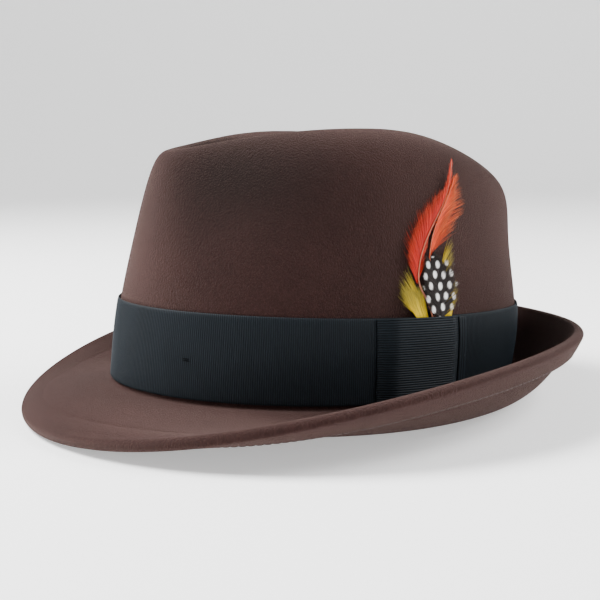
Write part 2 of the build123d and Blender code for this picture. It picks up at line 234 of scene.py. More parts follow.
def brim_v(angle, distance):
    """v at a distance in from the brim's edge, by bisection."""
    angle, distance = np.broadcast_arrays(np.asarray(angle, float), np.asarray(distance, float))
    edge = felt(angle, 0.0)
    low, high = np.zeros(angle.shape), np.full(angle.shape, 0.3)
    for _ in range(20):
        middle = (low + high) / 2
        near = np.linalg.norm(felt(angle, middle) - edge, axis=-1) < distance
        low, high = np.where(near, middle, low), np.where(near, high, middle)
    return (low + high) / 2


print("wall point at the left side", wall(np.pi / 2, 0.040, 0.0))


# %% [markdown]
# ## From grids to meshes
# Nearly every piece is a grid of points. One helper joins the grid's
# neighbours into quads, closes it round one way or both, and merges doubled
# points where a grid runs into a seam. Normals are then made to point outwards.


# %% Mesh helpers
def grid_faces(rows, columns, wrap_rows=False, wrap_columns=False, start=0):
    """Quads between neighbouring points of a rows x columns grid."""
    r = np.arange(rows if wrap_rows else rows - 1)
    c = np.arange(columns if wrap_columns else columns - 1)
    r, c = np.meshgrid(r, c, indexing="ij")
    r2, c2 = (r + 1) % rows, (c + 1) % columns
    quads = np.stack([r * columns + c, r * columns + c2, r2 * columns + c2, r2 * columns + c], -1)
    return quads.reshape(-1, 4) + start


def new_piece(name, points, faces, material, part, weld=0.0, layers=None):
    """Smooth mesh object at the origin; part is its body, CAD node and slot, and the slot is not used."""
    mesh = bpy.data.meshes.new(name)
    points = np.asarray(points, float).reshape(-1, 3)
    mesh.vertices.add(len(points))
    mesh.vertices.foreach_set("co", points.astype(np.float32).ravel())
    faces = np.asarray(faces)
    mesh.loops.add(faces.size)
    mesh.loops.foreach_set("vertex_index", faces.astype(np.int32).ravel())
    mesh.polygons.add(len(faces))
    sides = faces.shape[1]
    mesh.polygons.foreach_set("loop_start", np.arange(0, faces.size, sides, dtype=np.int32))
    mesh.update(calc_edges=True)
    mesh.validate()
    piece = bpy.data.objects.new(name, mesh)
    bpy.context.scene.collection.objects.link(piece)
    for label, values in (layers or {}).items():
        point_values(piece, label, values)
    if weld:
        weld_piece(piece, weld)
    mesh.polygons.foreach_set("use_smooth", np.ones(len(mesh.polygons), dtype=bool))
    mesh.materials.append(material)
    body, node, slot = part
    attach(piece, body)
    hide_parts(node)
    print(name, len(mesh.polygons), "faces")
    return piece


def grid_piece(name, grid, material, part, wrap_rows=False, weld=0.0, layers=None):
    """A piece from one grid whose columns close round."""
    faces = grid_faces(*grid.shape[:2], wrap_rows=wrap_rows, wrap_columns=True)
    return new_piece(name, grid, faces, material, part, weld, layers)


def weld_piece(piece, distance):
    """Merges doubled points and turns every face outwards."""
    work = bmesh.new()
    work.from_mesh(piece.data)
    bmesh.ops.remove_doubles(work, verts=work.verts, dist=distance)
    bmesh.ops.recalc_face_normals(work, faces=work.faces)
    work.to_mesh(piece.data)
    work.free()


def point_values(piece, name, values):
    """Stores one number per point for a material to read."""
    layer = piece.data.attributes.new(name, "FLOAT", "POINT")
    layer.data.foreach_set("value", np.asarray(values, np.float32).ravel())


# %% [markdown]
# ## Finishes
# Felt, ribbon, satin, leather and feather share two effects: a fine grain of
# fibres and a slow drift in colour. Each is a node group with its own inputs,
# and each material places it with its own sizes.


# %% Node helpers
def add_node(tree, kind, **values):
    """A node with its properties and input defaults set by name."""
    node = tree.nodes.new(kind)
    for key, value in values.items():
        if key in node.inputs:
            node.inputs[key].default_value = value
        else:
            setattr(node, key, value)
    return node


def set_inputs(node, **values):
    """Constants for a node's inputs; an underscore stands for a space."""
    for key, value in values.items():
        node.inputs[key.replace("_", " ")].default_value = value


def new_group(name, inputs, outputs):
    """A shader node group with named float, colour or vector sockets."""
    group = bpy.data.node_groups.new(name, "ShaderNodeTree")
    for label, kind, value in inputs:
        socket = group.interface.new_socket(name=label, in_out="INPUT", socket_type=kind)
        if value is not None:
            socket.default_value = value
    for label, kind in outputs:
        group.interface.new_socket(name=label, in_out="OUTPUT", socket_type=kind)
    return group, group.nodes.new("NodeGroupInput"), group.nodes.new("NodeGroupOutput")


def new_material(name, roughness, sheen=0.0, sheen_tint=(1, 1, 1, 1), specular=0.3):
    """A material whose Principled shader holds the constants."""
    material = bpy.data.materials.new(name)
    material.use_nodes = True
    shader = material.node_tree.nodes["Principled BSDF"]
    set_inputs(shader, Roughness=roughness, Specular_IOR_Level=specular)
    set_inputs(shader, Sheen_Weight=sheen, Sheen_Roughness=0.45, Sheen_Tint=sheen_tint)
    return material, material.node_tree, shader


# %% Group: fibre grain, a height and a fleck mask from two noises
def make_fibre_grain():
    group, given, out = new_group(
        "fibre_grain",
        [("Nap Scale", "NodeSocketFloat", 700.0), ("Fibre Scale", "NodeSocketFloat", 2400.0)],
        [("Height", "NodeSocketFloat"), ("Fleck", "NodeSocketFloat")],
    )
    place = add_node(group, "ShaderNodeTexCoord")
    stretch = add_node(group, "ShaderNodeMapping")
    stretch.inputs["Scale"].default_value = (1.0, 1.0, 0.62)
    nap = add_node(group, "ShaderNodeTexNoise", Detail=3.0, Roughness=0.6)
    fibre = add_node(group, "ShaderNodeTexNoise", Detail=2.0, Roughness=0.7)
    blend = add_node(group, "ShaderNodeMath", operation="MULTIPLY_ADD")
    blend.inputs[1].default_value = 0.55
    fleck = add_node(group, "ShaderNodeMapRange")
    set_inputs(fleck, From_Min=0.42, From_Max=0.72)
    link = group.links.new
    link(place.outputs["Object"], stretch.inputs["Vector"])
    link(stretch.outputs["Vector"], nap.inputs["Vector"])
    link(stretch.outputs["Vector"], fibre.inputs["Vector"])
    link(given.outputs["Nap Scale"], nap.inputs["Scale"])
    link(given.outputs["Fibre Scale"], fibre.inputs["Scale"])
    link(fibre.outputs["Fac"], blend.inputs[0])
    link(nap.outputs["Fac"], blend.inputs[2])
    link(nap.outputs["Fac"], fleck.inputs["Value"])
    link(blend.outputs[0], out.inputs["Height"])
    link(fleck.outputs["Result"], out.inputs["Fleck"])
    return group


# %% Group: colour drift, two colours mixed by a slow noise and by flecks
def make_colour_drift():
    group, given, out = new_group(
        "colour_drift",
        [
            ("Deep", "NodeSocketColor", (0.03, 0.02, 0.02, 1)),
            ("Light", "NodeSocketColor", (0.06, 0.04, 0.04, 1)),
            ("Scale", "NodeSocketFloat", 22.0),
            ("Fleck", "NodeSocketFloat", 0.0),
            ("Fleck Share", "NodeSocketFloat", 0.5),
        ],
        [("Color", "NodeSocketColor")],
    )
    place = add_node(group, "ShaderNodeTexCoord")
    slow = add_node(group, "ShaderNodeTexNoise", Detail=3.0, Roughness=0.55)
    share = add_node(group, "ShaderNodeMath", operation="MULTIPLY")
    total = add_node(group, "ShaderNodeMath", operation="MULTIPLY_ADD")
    total.inputs[1].default_value = 0.45
    total.use_clamp = True
    mix = add_node(group, "ShaderNodeMix", data_type="RGBA")
    link = group.links.new
    link(place.outputs["Object"], slow.inputs["Vector"])
    link(given.outputs["Scale"], slow.inputs["Scale"])
    link(given.outputs["Fleck"], share.inputs[0])
    link(given.outputs["Fleck Share"], share.inputs[1])
    link(slow.outputs["Fac"], total.inputs[0])
    link(share.outputs[0], total.inputs[2])
    link(total.outputs[0], mix.inputs["Factor"])
    link(given.outputs["Deep"], mix.inputs["A"])
    link(given.outputs["Light"], mix.inputs["B"])
    link(mix.outputs["Result"], out.inputs["Color"])
    return group


FIBRE_GRAIN = make_fibre_grain()
COLOUR_DRIFT = make_colour_drift()
print("groups", FIBRE_GRAIN.name, COLOUR_DRIFT.name)


# %% Placing the two groups in a material
def fibre_finish(tree, shader, deep, light, nap, fibre, depth, fleck_share, drift=22.0):
    """Grain drives the bump and the flecks; the drift gives the colour."""
    grain = add_node(tree, "ShaderNodeGroup", node_tree=FIBRE_GRAIN)
    set_inputs(grain, Nap_Scale=nap, Fibre_Scale=fibre)
    colour = add_node(tree, "ShaderNodeGroup", node_tree=COLOUR_DRIFT)
    set_inputs(colour, Deep=(*deep, 1), Light=(*light, 1), Scale=drift, Fleck_Share=fleck_share)
    bump = add_node(tree, "ShaderNodeBump", Distance=depth, Strength=1.0)
    link = tree.links.new
    link(grain.outputs["Fleck"], colour.inputs["Fleck"])
    link(grain.outputs["Height"], bump.inputs["Height"])
    link(bump.outputs["Normal"], shader.inputs["Normal"])
    link(colour.outputs["Color"], shader.inputs["Base Color"])
    return colour.outputs["Color"]


def darkened(tree, colour, layer, shade):
    """Multiplies a colour by a shade as far as a stored layer says."""
    stored = add_node(tree, "ShaderNodeAttribute", attribute_name=layer)
    mix = add_node(tree, "ShaderNodeMix", data_type="RGBA", blend_type="MULTIPLY")
    mix.inputs["B"].default_value = (*shade, 1)
    tree.links.new(stored.outputs["Fac"], mix.inputs["Factor"])
    tree.links.new(colour, mix.inputs["A"])
    return mix.outputs["Result"]


# %% Wool felt: matt, with a nap that catches light at its edges
FELT_DEEP, FELT_LIGHT = (0.0095, 0.0034, 0.0031), (0.046, 0.0190, 0.0168)
# Painted shade: the first colour darkens the seam's step and groove under the brim, the second the pinch
# dents on the crown.
SEAM_PAINTED_SHADE, PINCH_PAINTED_SHADE = (0.14, 0.12, 0.12), (0.24, 0.25, 0.24)


def make_wool_felt():
    material, tree, shader = new_material("wool felt", 0.95, 0.16, (1.0, 0.70, 0.62, 1), 0.08)
    colour = fibre_finish(tree, shader, FELT_DEEP, FELT_LIGHT, 1450.0, 3800.0, 0.00085, 0.46)
    # Painted shade: darkens the step where the welt's flap ends and the seam groove under the brim.
    colour = darkened(tree, colour, "painted_seam_shade", SEAM_PAINTED_SHADE)
    # Painted shade: darkens the pinch dents high on the crown.
    colour = darkened(tree, colour, "painted_pinch_shade", PINCH_PAINTED_SHADE)
    tree.links.new(colour, shader.inputs["Base Color"])
    return material


WOOL_FELT = make_wool_felt()

# %% [markdown]
# ## The felt body
# Crown and brim are one sheet, and the brim's edge is turned under and sewn
# down, which makes the thick round welt. Solidify would give a wall, but not
# the folded welt, so the whole cross-section is one closed line: down the
# outside, round the fold, along the flap, and back up the inside.


# %% Cross-section path as (v, depth under the outer side, reach past the edge)
def welt_relief(distance):
    """Height of the brim's top: a shallow groove where the flap ends."""
    groove = -0.00028 * np.exp(-(((distance - 0.0115) / 0.0011) ** 2))
    roll = 0.00035 * np.exp(-(((distance - 0.0055) / 0.0035) ** 2))
    return groove + roll


def hand_shaping(angle, v):
    """Slow dents of up to half a millimetre that steaming by hand leaves."""
    waves = np.sin(3 * angle + 9 * v) + np.sin(5 * angle - 14 * v + 1.3)
    waves = waves + np.sin(2 * angle + 23 * v + 0.4)
    brim = np.clip((0.34 - v) / 0.1, 0, 1)
    crown = np.clip((v - 0.68) / 0.08, 0, 1) * np.clip((1 - v) / 0.1, 0, 1)
    return 0.00016 * waves * (brim + crown)


def outer_side(angle, v):
    edge = felt(angle, 0.0)
    distance = np.linalg.norm(felt(angle, v) - edge, axis=-1)
    near = np.clip((0.24 - v) / 0.04, 0, 1)
    offset = welt_relief(distance) * near + hand_shaping(angle, v)
    return off_felt(angle, v, offset)


ANGLES = np.linspace(-np.pi, np.pi, 289)[:-1]
down_v = np.concatenate([np.linspace(1, 0.30, 84), np.linspace(0.295, 0.0, 56)])
outside = outer_side(ANGLES[None, :], down_v[:, None])
print("outside grid", outside.shape)


# %% The fold, the flap and the inside
def edge_ring(sideways, depth):
    """Past the edge by a distance, and down through the welt by a depth."""
    away = felt(ANGLES, 0.0) - felt(ANGLES, 0.004)
    away /= np.linalg.norm(away, axis=-1, keepdims=True)
    return felt(ANGLES, 0.0) + away * sideways - felt_normal(ANGLES, 0.0) * depth


def under_ring(distance, depth):
    """Under the brim, a distance in from the edge."""
    return off_felt(ANGLES, brim_v(ANGLES, distance), -depth)


turn = np.linspace(0, np.pi, 9)[1:-1]
fold = [edge_ring(0.0019 * np.sin(a), WELT / 2 * (1 - np.cos(a))) for a in turn]
FLAP_OUTSIDE = ((0.0, 0.0), (0.003, 0.0002), (0.006, 0.0003), (0.009, 0.0002))
FLAP_OUTSIDE += ((0.0102, 0.0), (0.0109, -0.0005), (0.0111, -0.0014))
FLAP_INSIDE = ((0.0109, 0.0006), (0.0085, 0.0004), (0.0088, 0.0))
flap = [under_ring(s, WELT + d) for s, d in FLAP_OUTSIDE]
flap += [under_ring(s, FELT + d) for s, d in FLAP_INSIDE]
up_v = np.concatenate([np.linspace(0.060, 0.30, 50), np.linspace(0.305, 1.0, 84)])
start_v = brim_v(ANGLES, 0.0095)
share = (up_v - up_v[0]) / (up_v[-1] - up_v[0])
inner_v = start_v[None, :] * (1 - share[:, None]) + share[:, None]
inner_distance = np.linalg.norm(felt(ANGLES[None, :], inner_v) - felt(ANGLES, 0.0)[None], axis=-1)
ridge_line = 0.0008 * np.exp(-(((inner_distance - 0.0142) / 0.0008) ** 2))
seam_groove = -0.0005 * np.exp(-(((inner_distance - 0.0158) / 0.0006) ** 2))
inside = off_felt(ANGLES[None, :], inner_v, -FELT - ridge_line - seam_groove)
section = np.concatenate([outside, np.stack(fold), np.stack(flap), inside])
print("felt section rings", section.shape)

# %% Make the felt body, with painted shade in the seam's step and groove under the brim and in the pinch dents high on the crown
# Painted shade under the brim: darkest at the step where the flap ends, lighter in the seam groove.
seam_run = np.linalg.norm(section - felt(ANGLES, 0.0)[None], axis=-1)
seam_painted_shade = np.exp(-(((seam_run - 0.0122) / 0.0011) ** 2))
seam_painted_shade = seam_painted_shade + 0.45 * np.exp(-(((seam_run - 0.0158) / 0.0006) ** 2))
under_side = np.arange(len(section))[:, None] >= len(outside) + len(fold)
# Painted shade: a soft patch over each pinch dent near the top of the crown, darkening the felt's colour.
PINCH_SHADE_ANGLE, PINCH_SHADE_TURN = 0.80, 0.55
PINCH_SHADE_HEIGHT, PINCH_SHADE_REACH = 0.117, 0.026
pinch_turn = (np.abs(ANGLES) - PINCH_SHADE_ANGLE) / PINCH_SHADE_TURN
pinch_rise = (section[..., 2] - PINCH_SHADE_HEIGHT) / PINCH_SHADE_REACH
pinch_shade_mask = np.exp(-(pinch_turn[None, :] ** 2) - pinch_rise**2)
felt_layers = {"painted_seam_shade": np.clip(seam_painted_shade, 0, 1) * under_side, "painted_pinch_shade": pinch_shade_mask}
felt_part = ("hat", "felt_body", "wool_felt")
grid_piece("felt_hat_body", section, WOOL_FELT, felt_part, weld=2e-6, layers=felt_layers)

# %% [markdown]
# ## Grosgrain ribbon
# Grosgrain is woven with a thick weft, so it has round ribs about a millimetre
# apart that run across the ribbon. The ribs are real relief here: each has four
# points across (six on the bow), and a stored number says how deep in the groove
# a point lies. That number darkens the colour between the ribs as painted shade.


# %% Ribbon finish: dark ribs with a dull shine, and painted shade near black between them
RIBBON_DEEP, RIBBON_LIGHT = (0.0060, 0.0094, 0.0131), (0.0160, 0.0248, 0.0336)
GROOVE_PAINTED_SHADE = (0.01, 0.01, 0.01)


def make_grosgrain():
    material, tree, shader = new_material("grosgrain", 0.62, 0.0, (0.60, 0.82, 1.0, 1), 0.12)
    fine = (1500.0, 5200.0, 0.00005, 0.25, 60.0)
    colour = fibre_finish(tree, shader, RIBBON_DEEP, RIBBON_LIGHT, *fine)
    # Painted shade: the colour is darkened in the grooves between the ribs.
    tree.links.new(darkened(tree, colour, "groove", GROOVE_PAINTED_SHADE), shader.inputs["Base Color"])
    return material


GROSGRAIN = make_grosgrain()
BAND_LOW, BAND_HIGH = 0.0020, 0.0415
BAND_GAP, BAND_OUT = 0.00055, 0.00125
RIB = 0.00100
RIB_HEIGHT = 0.00030
EDGE_ROUND = 0.00012
GROOVE_SHADE_SPREAD, BOW_GROOVE_SHADE_SPREAD = 0.6, 0.7
band_line = wall(np.linspace(-np.pi, np.pi, 400), 0.02, 0.0)
band_length = np.linalg.norm(np.diff(band_line, axis=0), axis=-1).sum()
print("band length", band_length, "ribs", round(band_length / RIB))


# %% The band: evenly spaced ribs need angles at equal lengths along the wall
def even_angles(start, end, count):
    """Angles at equal arc lengths round the wall, by inverse interpolation."""
    dense = np.linspace(start, end, 1500)
    line = wall(dense, 0.021, 0.001)
    run = np.concatenate([[0], np.cumsum(np.linalg.norm(np.diff(line, axis=0), axis=-1))])
    return np.interp(np.linspace(0, run[-1], count), run, dense)


def rib_wave(count, per_rib):
    """Round ribs: the absolute sine, so grooves are sharp and tops are round."""
    return np.abs(np.sin(np.pi * np.arange(count) / per_rib))


def band_sheet(angles, wave, low, high, inner, outer):
    """Closed cross-section of a ribbed band: up the front, down the back."""
    t = np.array([0.0, 0.012, 0.05, 0.2, 0.35, 0.5, 0.65, 0.8, 0.95, 0.988, 1.0])
    heights = low + (high - low) * t
    rounding = np.array([0.0, 0.7, 1, 1, 1, 1, 1, 1, 1, 0.7, 0.0])
    front = outer + (RIB_HEIGHT * wave[None, :] + EDGE_ROUND) * rounding[:, None] - EDGE_ROUND
    grid_angle = np.broadcast_to(angles, front.shape)
    rows = [wall(grid_angle, heights[:, None], front)]
    back_heights = heights[[9, 6, 3, 1]]
    back = np.full((4, len(angles)), inner)
    rows.append(wall(np.broadcast_to(angles, back.shape), back_heights[:, None], back))
    # Painted shade mask: high in each groove between ribs, nothing on the back.
    groove = np.repeat(((1 - wave) ** GROOVE_SHADE_SPREAD)[None, :], len(t), 0)
    return np.concatenate(rows), {"groove": np.concatenate([groove, np.zeros(back.shape)])}


PER_RIB = 4
ribs = int(round(band_length / RIB))
band_angles = even_angles(-np.pi, np.pi, ribs * PER_RIB + 1)[:-1]
band_wave = rib_wave(ribs * PER_RIB, PER_RIB)
band_grid, band_painted_shade = band_sheet(band_angles, band_wave, BAND_LOW, BAND_HIGH, BAND_GAP, BAND_OUT)
ribbon_part = ("hat", "hatband_ribbon", "black_grosgrain")
ribbon = grid_piece("ribbon_band", band_grid, GROSGRAIN, ribbon_part, wrap_rows=True, layers=band_painted_shade)

# %% [markdown]
# ## The flat bow
# The bow is a wide loop of the same ribbon, turned a quarter, so its ribs lie
# level. It stands a little off the band, which leaves the pocket for the quills,
# and each rib ends in a small round bump where the ribbon is folded back.


# %% The bow
WRAP_START, WRAP_END = np.radians(83.0), np.radians(107.0)
WRAP_FLAT_START, WRAP_FLAT_END = np.radians(88.5), np.radians(103.5)
WRAP_GAP, WRAP_THICKNESS = 0.0045, 0.0008
BOW_RIB = 0.00107


def wrap_gap(angle):
    """Gap under the bow: a smooth step up, a flat stretch and a step down."""
    rising = (angle - WRAP_START) / (WRAP_FLAT_START - WRAP_START)
    falling = (WRAP_END - angle) / (WRAP_END - WRAP_FLAT_END)
    share = np.clip(np.minimum(rising, falling), 0, 1)
    eased = share * share * (3 - 2 * share)
    resting = BAND_OUT + 0.0003
    return resting + (WRAP_GAP - resting) * eased


PER_BOW_RIB = 6
bow_ribs = int(round((BAND_HIGH - BAND_LOW - 0.0006) / BOW_RIB))
bow_rows = bow_ribs * PER_BOW_RIB + 1
bow_wave = rib_wave(bow_rows, PER_BOW_RIB)
bow_height = np.linspace(BAND_LOW + 0.0003, BAND_HIGH - 0.0003, bow_rows)
u = np.concatenate([[0.0, 0.004, 0.012], np.linspace(0.03, 0.97, 46), [0.988, 0.996, 1.0]])
end_round = np.interp(u, [0, 0.004, 0.012, 0.03, 0.97, 0.988, 0.996, 1], [0, 0.75, 1, 1, 1, 1, 0.75, 0])
scallop = 0.0045 * (1 - bow_wave[:, None])
bow_angle = WRAP_START + (WRAP_END - WRAP_START) * (scallop + (1 - 2 * scallop) * u[None, :])
bow_sag = 0.00025 * np.sin(np.pi * u[None, :]) * np.sin(7 * bow_height[:, None] / 0.04 + 2.0 * u[None, :])
bow_front = wrap_gap(bow_angle) + WRAP_THICKNESS + bow_sag
bow_front += (0.00034 * bow_wave[:, None] + 0.0001) * end_round[None, :] - 0.00034
front_grid = wall(bow_angle, bow_height[:, None] + 0 * bow_angle, bow_front)
back_u = u[::-2]
back_angle = WRAP_START + (WRAP_END - WRAP_START) * (0.006 + 0.988 * back_u)
back_angle = np.broadcast_to(back_angle, (bow_rows, len(back_u)))
back_grid = wall(back_angle, bow_height[:, None] + 0 * back_angle, wrap_gap(back_angle))
bow_grid = np.concatenate([front_grid, back_grid], axis=1)
bow_faces = grid_faces(*bow_grid.shape[:2], wrap_columns=True)
columns = bow_grid.shape[1]
count = len(u)


def bow_caps():
    """Triangles across the bow's top and bottom edge, front to back."""
    front = np.arange(count)
    behind = count + np.clip((count - 1 - front) // 2, 0, len(back_u) - 1)
    caps = []
    for row, flip in ((0, False), (bow_rows - 1, True)):
        first = np.stack([front[:-1], behind[:-1], front[1:]], -1) + row * columns
        second = np.stack([front[1:], behind[:-1], behind[1:]], -1) + row * columns
        second = second[behind[:-1] != behind[1:]]
        both = np.concatenate([first, second])
        caps.append(both[:, ::-1] if flip else both)
    return np.concatenate(caps)


quads = np.concatenate([bow_faces[:, [0, 1, 2]], bow_faces[:, [0, 2, 3]], bow_caps()])
# Painted shade between the bow's level ribs, darkest in each groove.
bow_front_painted_shade = np.repeat(((1 - bow_wave) ** BOW_GROOVE_SHADE_SPREAD)[:, None], count, 1)
bow_painted_shade = {"groove": np.concatenate([bow_front_painted_shade, np.zeros((bow_rows, len(back_u)))], axis=1)}
bow_part = ("hat", "bow_wrap", "black_grosgrain")
bow = new_piece("flat_bow", bow_grid, quads, GROSGRAIN, bow_part, weld=1e-6, layers=bow_painted_shade)

# %% The band's turned-under end beside the bow
end_start, end_stop = WRAP_END + 0.009, WRAP_END + 0.052
end_count = int(0.0036 / RIB) * PER_RIB + 1
end_angles = np.linspace(end_start, end_stop, end_count)
end_wave = rib_wave(end_count, PER_RIB)
end_low, end_high = BAND_LOW + 0.0008, BAND_HIGH - 0.0008
end_inner, end_outer = BAND_OUT + 0.0003, BAND_OUT + 0.0009
# The band's end gets the same painted shade in its grooves.
end_grid, end_painted_shade = band_sheet(end_angles, end_wave, end_low, end_high, end_inner, end_outer)
quads = grid_faces(end_grid.shape[0], end_count, wrap_rows=True)
ladder = [[0, 1, 14], [1, 2, 14], [2, 3, 14], [3, 13, 14], [3, 4, 13], [4, 5, 13], [5, 6, 13]]
ladder += [[6, 12, 13], [6, 7, 12], [7, 8, 12], [8, 9, 12], [9, 11, 12], [9, 10, 11]]
ladder = np.array(ladder) * end_count
end_faces = [quads[:, [0, 1, 2]], quads[:, [0, 2, 3]], ladder[:, ::-1], ladder + end_count - 1]
end_part = ("hat", "band_end", "black_grosgrain")
new_piece("ribbon_end", end_grid, np.concatenate(end_faces), GROSGRAIN, end_part, layers=end_painted_shade)

# %% [markdown]
# ## Thread, lining and sweatband
# The inside is seen from below. The lining is satin, in a side piece and a tip
# with a piping cord between them; the sweatband is smooth leather, sewn round
# its lower edge over a thin reed, with a small ribbon bow at the back seam.


# %% Finishes for the inside
def make_plain(name, deep, light, roughness, nap, fibre, depth, sheen=0.0, specular=0.3, drift=30.0):
    """A fibre finish with its own two colours and grain sizes."""
    material, tree, shader = new_material(name, roughness, sheen, (1, 1, 1, 1), specular)
    fibre_finish(tree, shader, deep, light, nap, fibre, depth, 0.3, drift)
    return material


BROWN = (0.035, 0.018, 0.016), (0.09, 0.05, 0.045)
BLACK = (0.0012, 0.0014, 0.0016), (0.0030, 0.0036, 0.0044)
DARK_BROWN = (0.020, 0.011, 0.010), (0.050, 0.030, 0.027)
SOFT_BLACK = (0.006, 0.006, 0.007), (0.018, 0.017, 0.018)
TAN = (0.075, 0.034, 0.018), (0.150, 0.075, 0.042)
STRAW = (0.16, 0.12, 0.08), (0.26, 0.21, 0.15)
CREAM = (0.40, 0.37, 0.30), (0.58, 0.55, 0.47)
BROWN_THREAD = make_plain("brown thread", *BROWN, 0.7, 2500, 6000, 0.0001, 0.3)
BLACK_THREAD = make_plain("black thread", *BLACK, 0.85, 2500, 6000, 0.0001, 0.0, 0.05)
SATIN = make_plain("satin lining", *DARK_BROWN, 0.33, 60, 2600, 0.00006, 0.2, 0.6, 12.0)
PIPING = make_plain("piping satin", *SOFT_BLACK, 0.4, 900, 3000, 0.0001, 0.2, 0.5)
SWEAT_LEATHER = make_plain("sweatband leather", *TAN, 0.42, 1100, 3800, 0.00012, 0.0, 0.5)
REED = make_plain("reed", *STRAW, 0.5, 500, 2500, 0.00005)
TAG_CLOTH = make_plain("blank tag", *CREAM, 0.8, 1500, 4200, 0.0002, 0.2)


# %% A wall sheet, for the lining, the sweatband and anything like them
def wall_sheet(name, heights, inner, outer, material, part, swell=0.0, folds=0):
    """Closed ring of sheet: up its outer side, down its inner side."""
    angle = np.broadcast_to(ANGLES, (len(heights), len(ANGLES)))
    level = np.broadcast_to(np.asarray(heights)[:, None], angle.shape)
    wave = swell * np.sin(folds * angle) if folds else 0 * angle
    up = wall(angle, level, outer + 0 * angle)
    down = wall(angle[::-1], level[::-1], inner - np.abs(wave[::-1]))
    return grid_piece(name, np.concatenate([up, down]), material, part, wrap_rows=True)


def ring_length(height, offset):
    line = wall(np.linspace(-np.pi, np.pi, 300), height, offset)
    return float(np.linalg.norm(np.diff(line, axis=0), axis=-1).sum())


LINING_OUT, LINING_IN = -(FELT + 0.00035), -(FELT + 0.0007)
SWEAT_OUT = -(FELT + 0.0011)
TIP_SPACE = 0.0010
SWEAT_IN = SWEAT_OUT - 0.0009
LINING_LOW, LINING_HIGH, SWEATBAND_HIGH = 0.028, 0.090, 0.036
LINING_SWELL, LINING_FOLDS = 0.0009, 46
side_heights = np.linspace(LINING_LOW, LINING_HIGH, 26)
side_part = ("hat", "lining_side", "satin_lining")
side_lining = wall_sheet(
    "lining_side_satin", side_heights, LINING_IN, LINING_OUT, SATIN, side_part, LINING_SWELL, LINING_FOLDS
)
ring_length(0.06, LINING_IN)

sweat_heights = np.linspace(0.003, SWEATBAND_HIGH, 14)
sweat_part = ("hat", "sweatband", "sweat_leather")
sweatband = wall_sheet("sweatband_leather", sweat_heights, SWEAT_IN, SWEAT_OUT, SWEAT_LEATHER, sweat_part)
ring_length(0.02, SWEAT_IN)

# %% The lining's tip, a sheet that follows the crown under its crease
tip_start = wall_v(ANGLES, LINING_HIGH + 0.003)
tip_share = np.linspace(0, 1, 44)[:, None]
tip_v = tip_start[None, :] * (1 - tip_share) + tip_share
tip_up = off_felt(ANGLES[None, :], tip_v, LINING_OUT - TIP_SPACE)
tip_down = off_felt(ANGLES[None, :], tip_v[::-1], LINING_IN - TIP_SPACE)
tip_grid = np.concatenate([tip_down, tip_up])
tip = grid_piece("lining_tip_satin", tip_grid, SATIN, ("hat", "lining_tip", "satin_lining"), weld=2e-6)


# %% Cords and rows of stitches that follow a ring round the hat
def ring_cord(name, height, offset, radius, material, part, twist=0):
    """Tube round a ring; a twist of strands ripples its radius."""
    sides = 10
    turn = np.linspace(0, 2 * np.pi, sides + 1)[:-1]
    angles = even_angles(-np.pi, np.pi, 721)[:-1]
    ripple = 1 + 0.10 * np.sin(3 * turn[:, None] + twist * angles[None, :]) if twist else 1.0
    out, up = radius * np.cos(turn)[:, None] * ripple, radius * np.sin(turn)[:, None] * ripple
    grid = wall(angles[None, :] + 0 * up, height + up + 0 * angles[None, :], offset + out)
    return grid_piece(name, grid, material, part, wrap_rows=True)


PIPING_HEIGHT, PIPING_OFFSET, PIPING_TWIST = LINING_HIGH + 0.0015, -(FELT + 0.00125), 300
piping_part = ("hat", "lining_piping", "piping_cord")
ring_cord("lining_piping_cord", PIPING_HEIGHT, PIPING_OFFSET, 0.0008, PIPING, piping_part, PIPING_TWIST)
reed_part = ("hat", "sweatband_reed", "reed_plastic")
ring_cord("sweatband_reed_strip", 0.0016, SWEAT_OUT - 0.0003, 0.0010, REED, reed_part)


def capsules(starts, ends, normals, radius, rings=5, sides=6):
    """Many short stitches at once: ellipsoids between two points each."""
    t = np.linspace(0, 1, rings)
    swell = np.sqrt(np.clip(1 - (2 * t - 1) ** 2, 0.02, 1))
    turn = np.linspace(0, 2 * np.pi, sides + 1)[:-1]
    along = ends - starts
    side = np.cross(along, normals)
    side /= np.linalg.norm(side, axis=-1, keepdims=True)
    centre = starts[:, None, :] + along[:, None, :] * t[None, :, None]
    ring = np.cos(turn)[:, None, None] * side[None] + np.sin(turn)[:, None, None] * normals[None]
    spokes = radius * swell[None, :, None, None] * ring.transpose(1, 0, 2)[:, None, :, :]
    points = centre[:, :, None, :] + spokes
    one = grid_faces(rings, sides, wrap_columns=True)
    quads = one[None] + (np.arange(len(starts)) * rings * sides)[:, None, None]
    first = np.arange(len(starts)) * rings * sides
    caps = np.array([[0, 3, 2, 1], [0, 5, 4, 3]])
    low = (first[:, None, None] + caps[None]).reshape(-1, 4)
    high = (first[:, None, None] + caps[None, :, ::-1] + (rings - 1) * sides).reshape(-1, 4)
    return points.reshape(-1, 3), np.concatenate([quads.reshape(-1, 4), low, high])


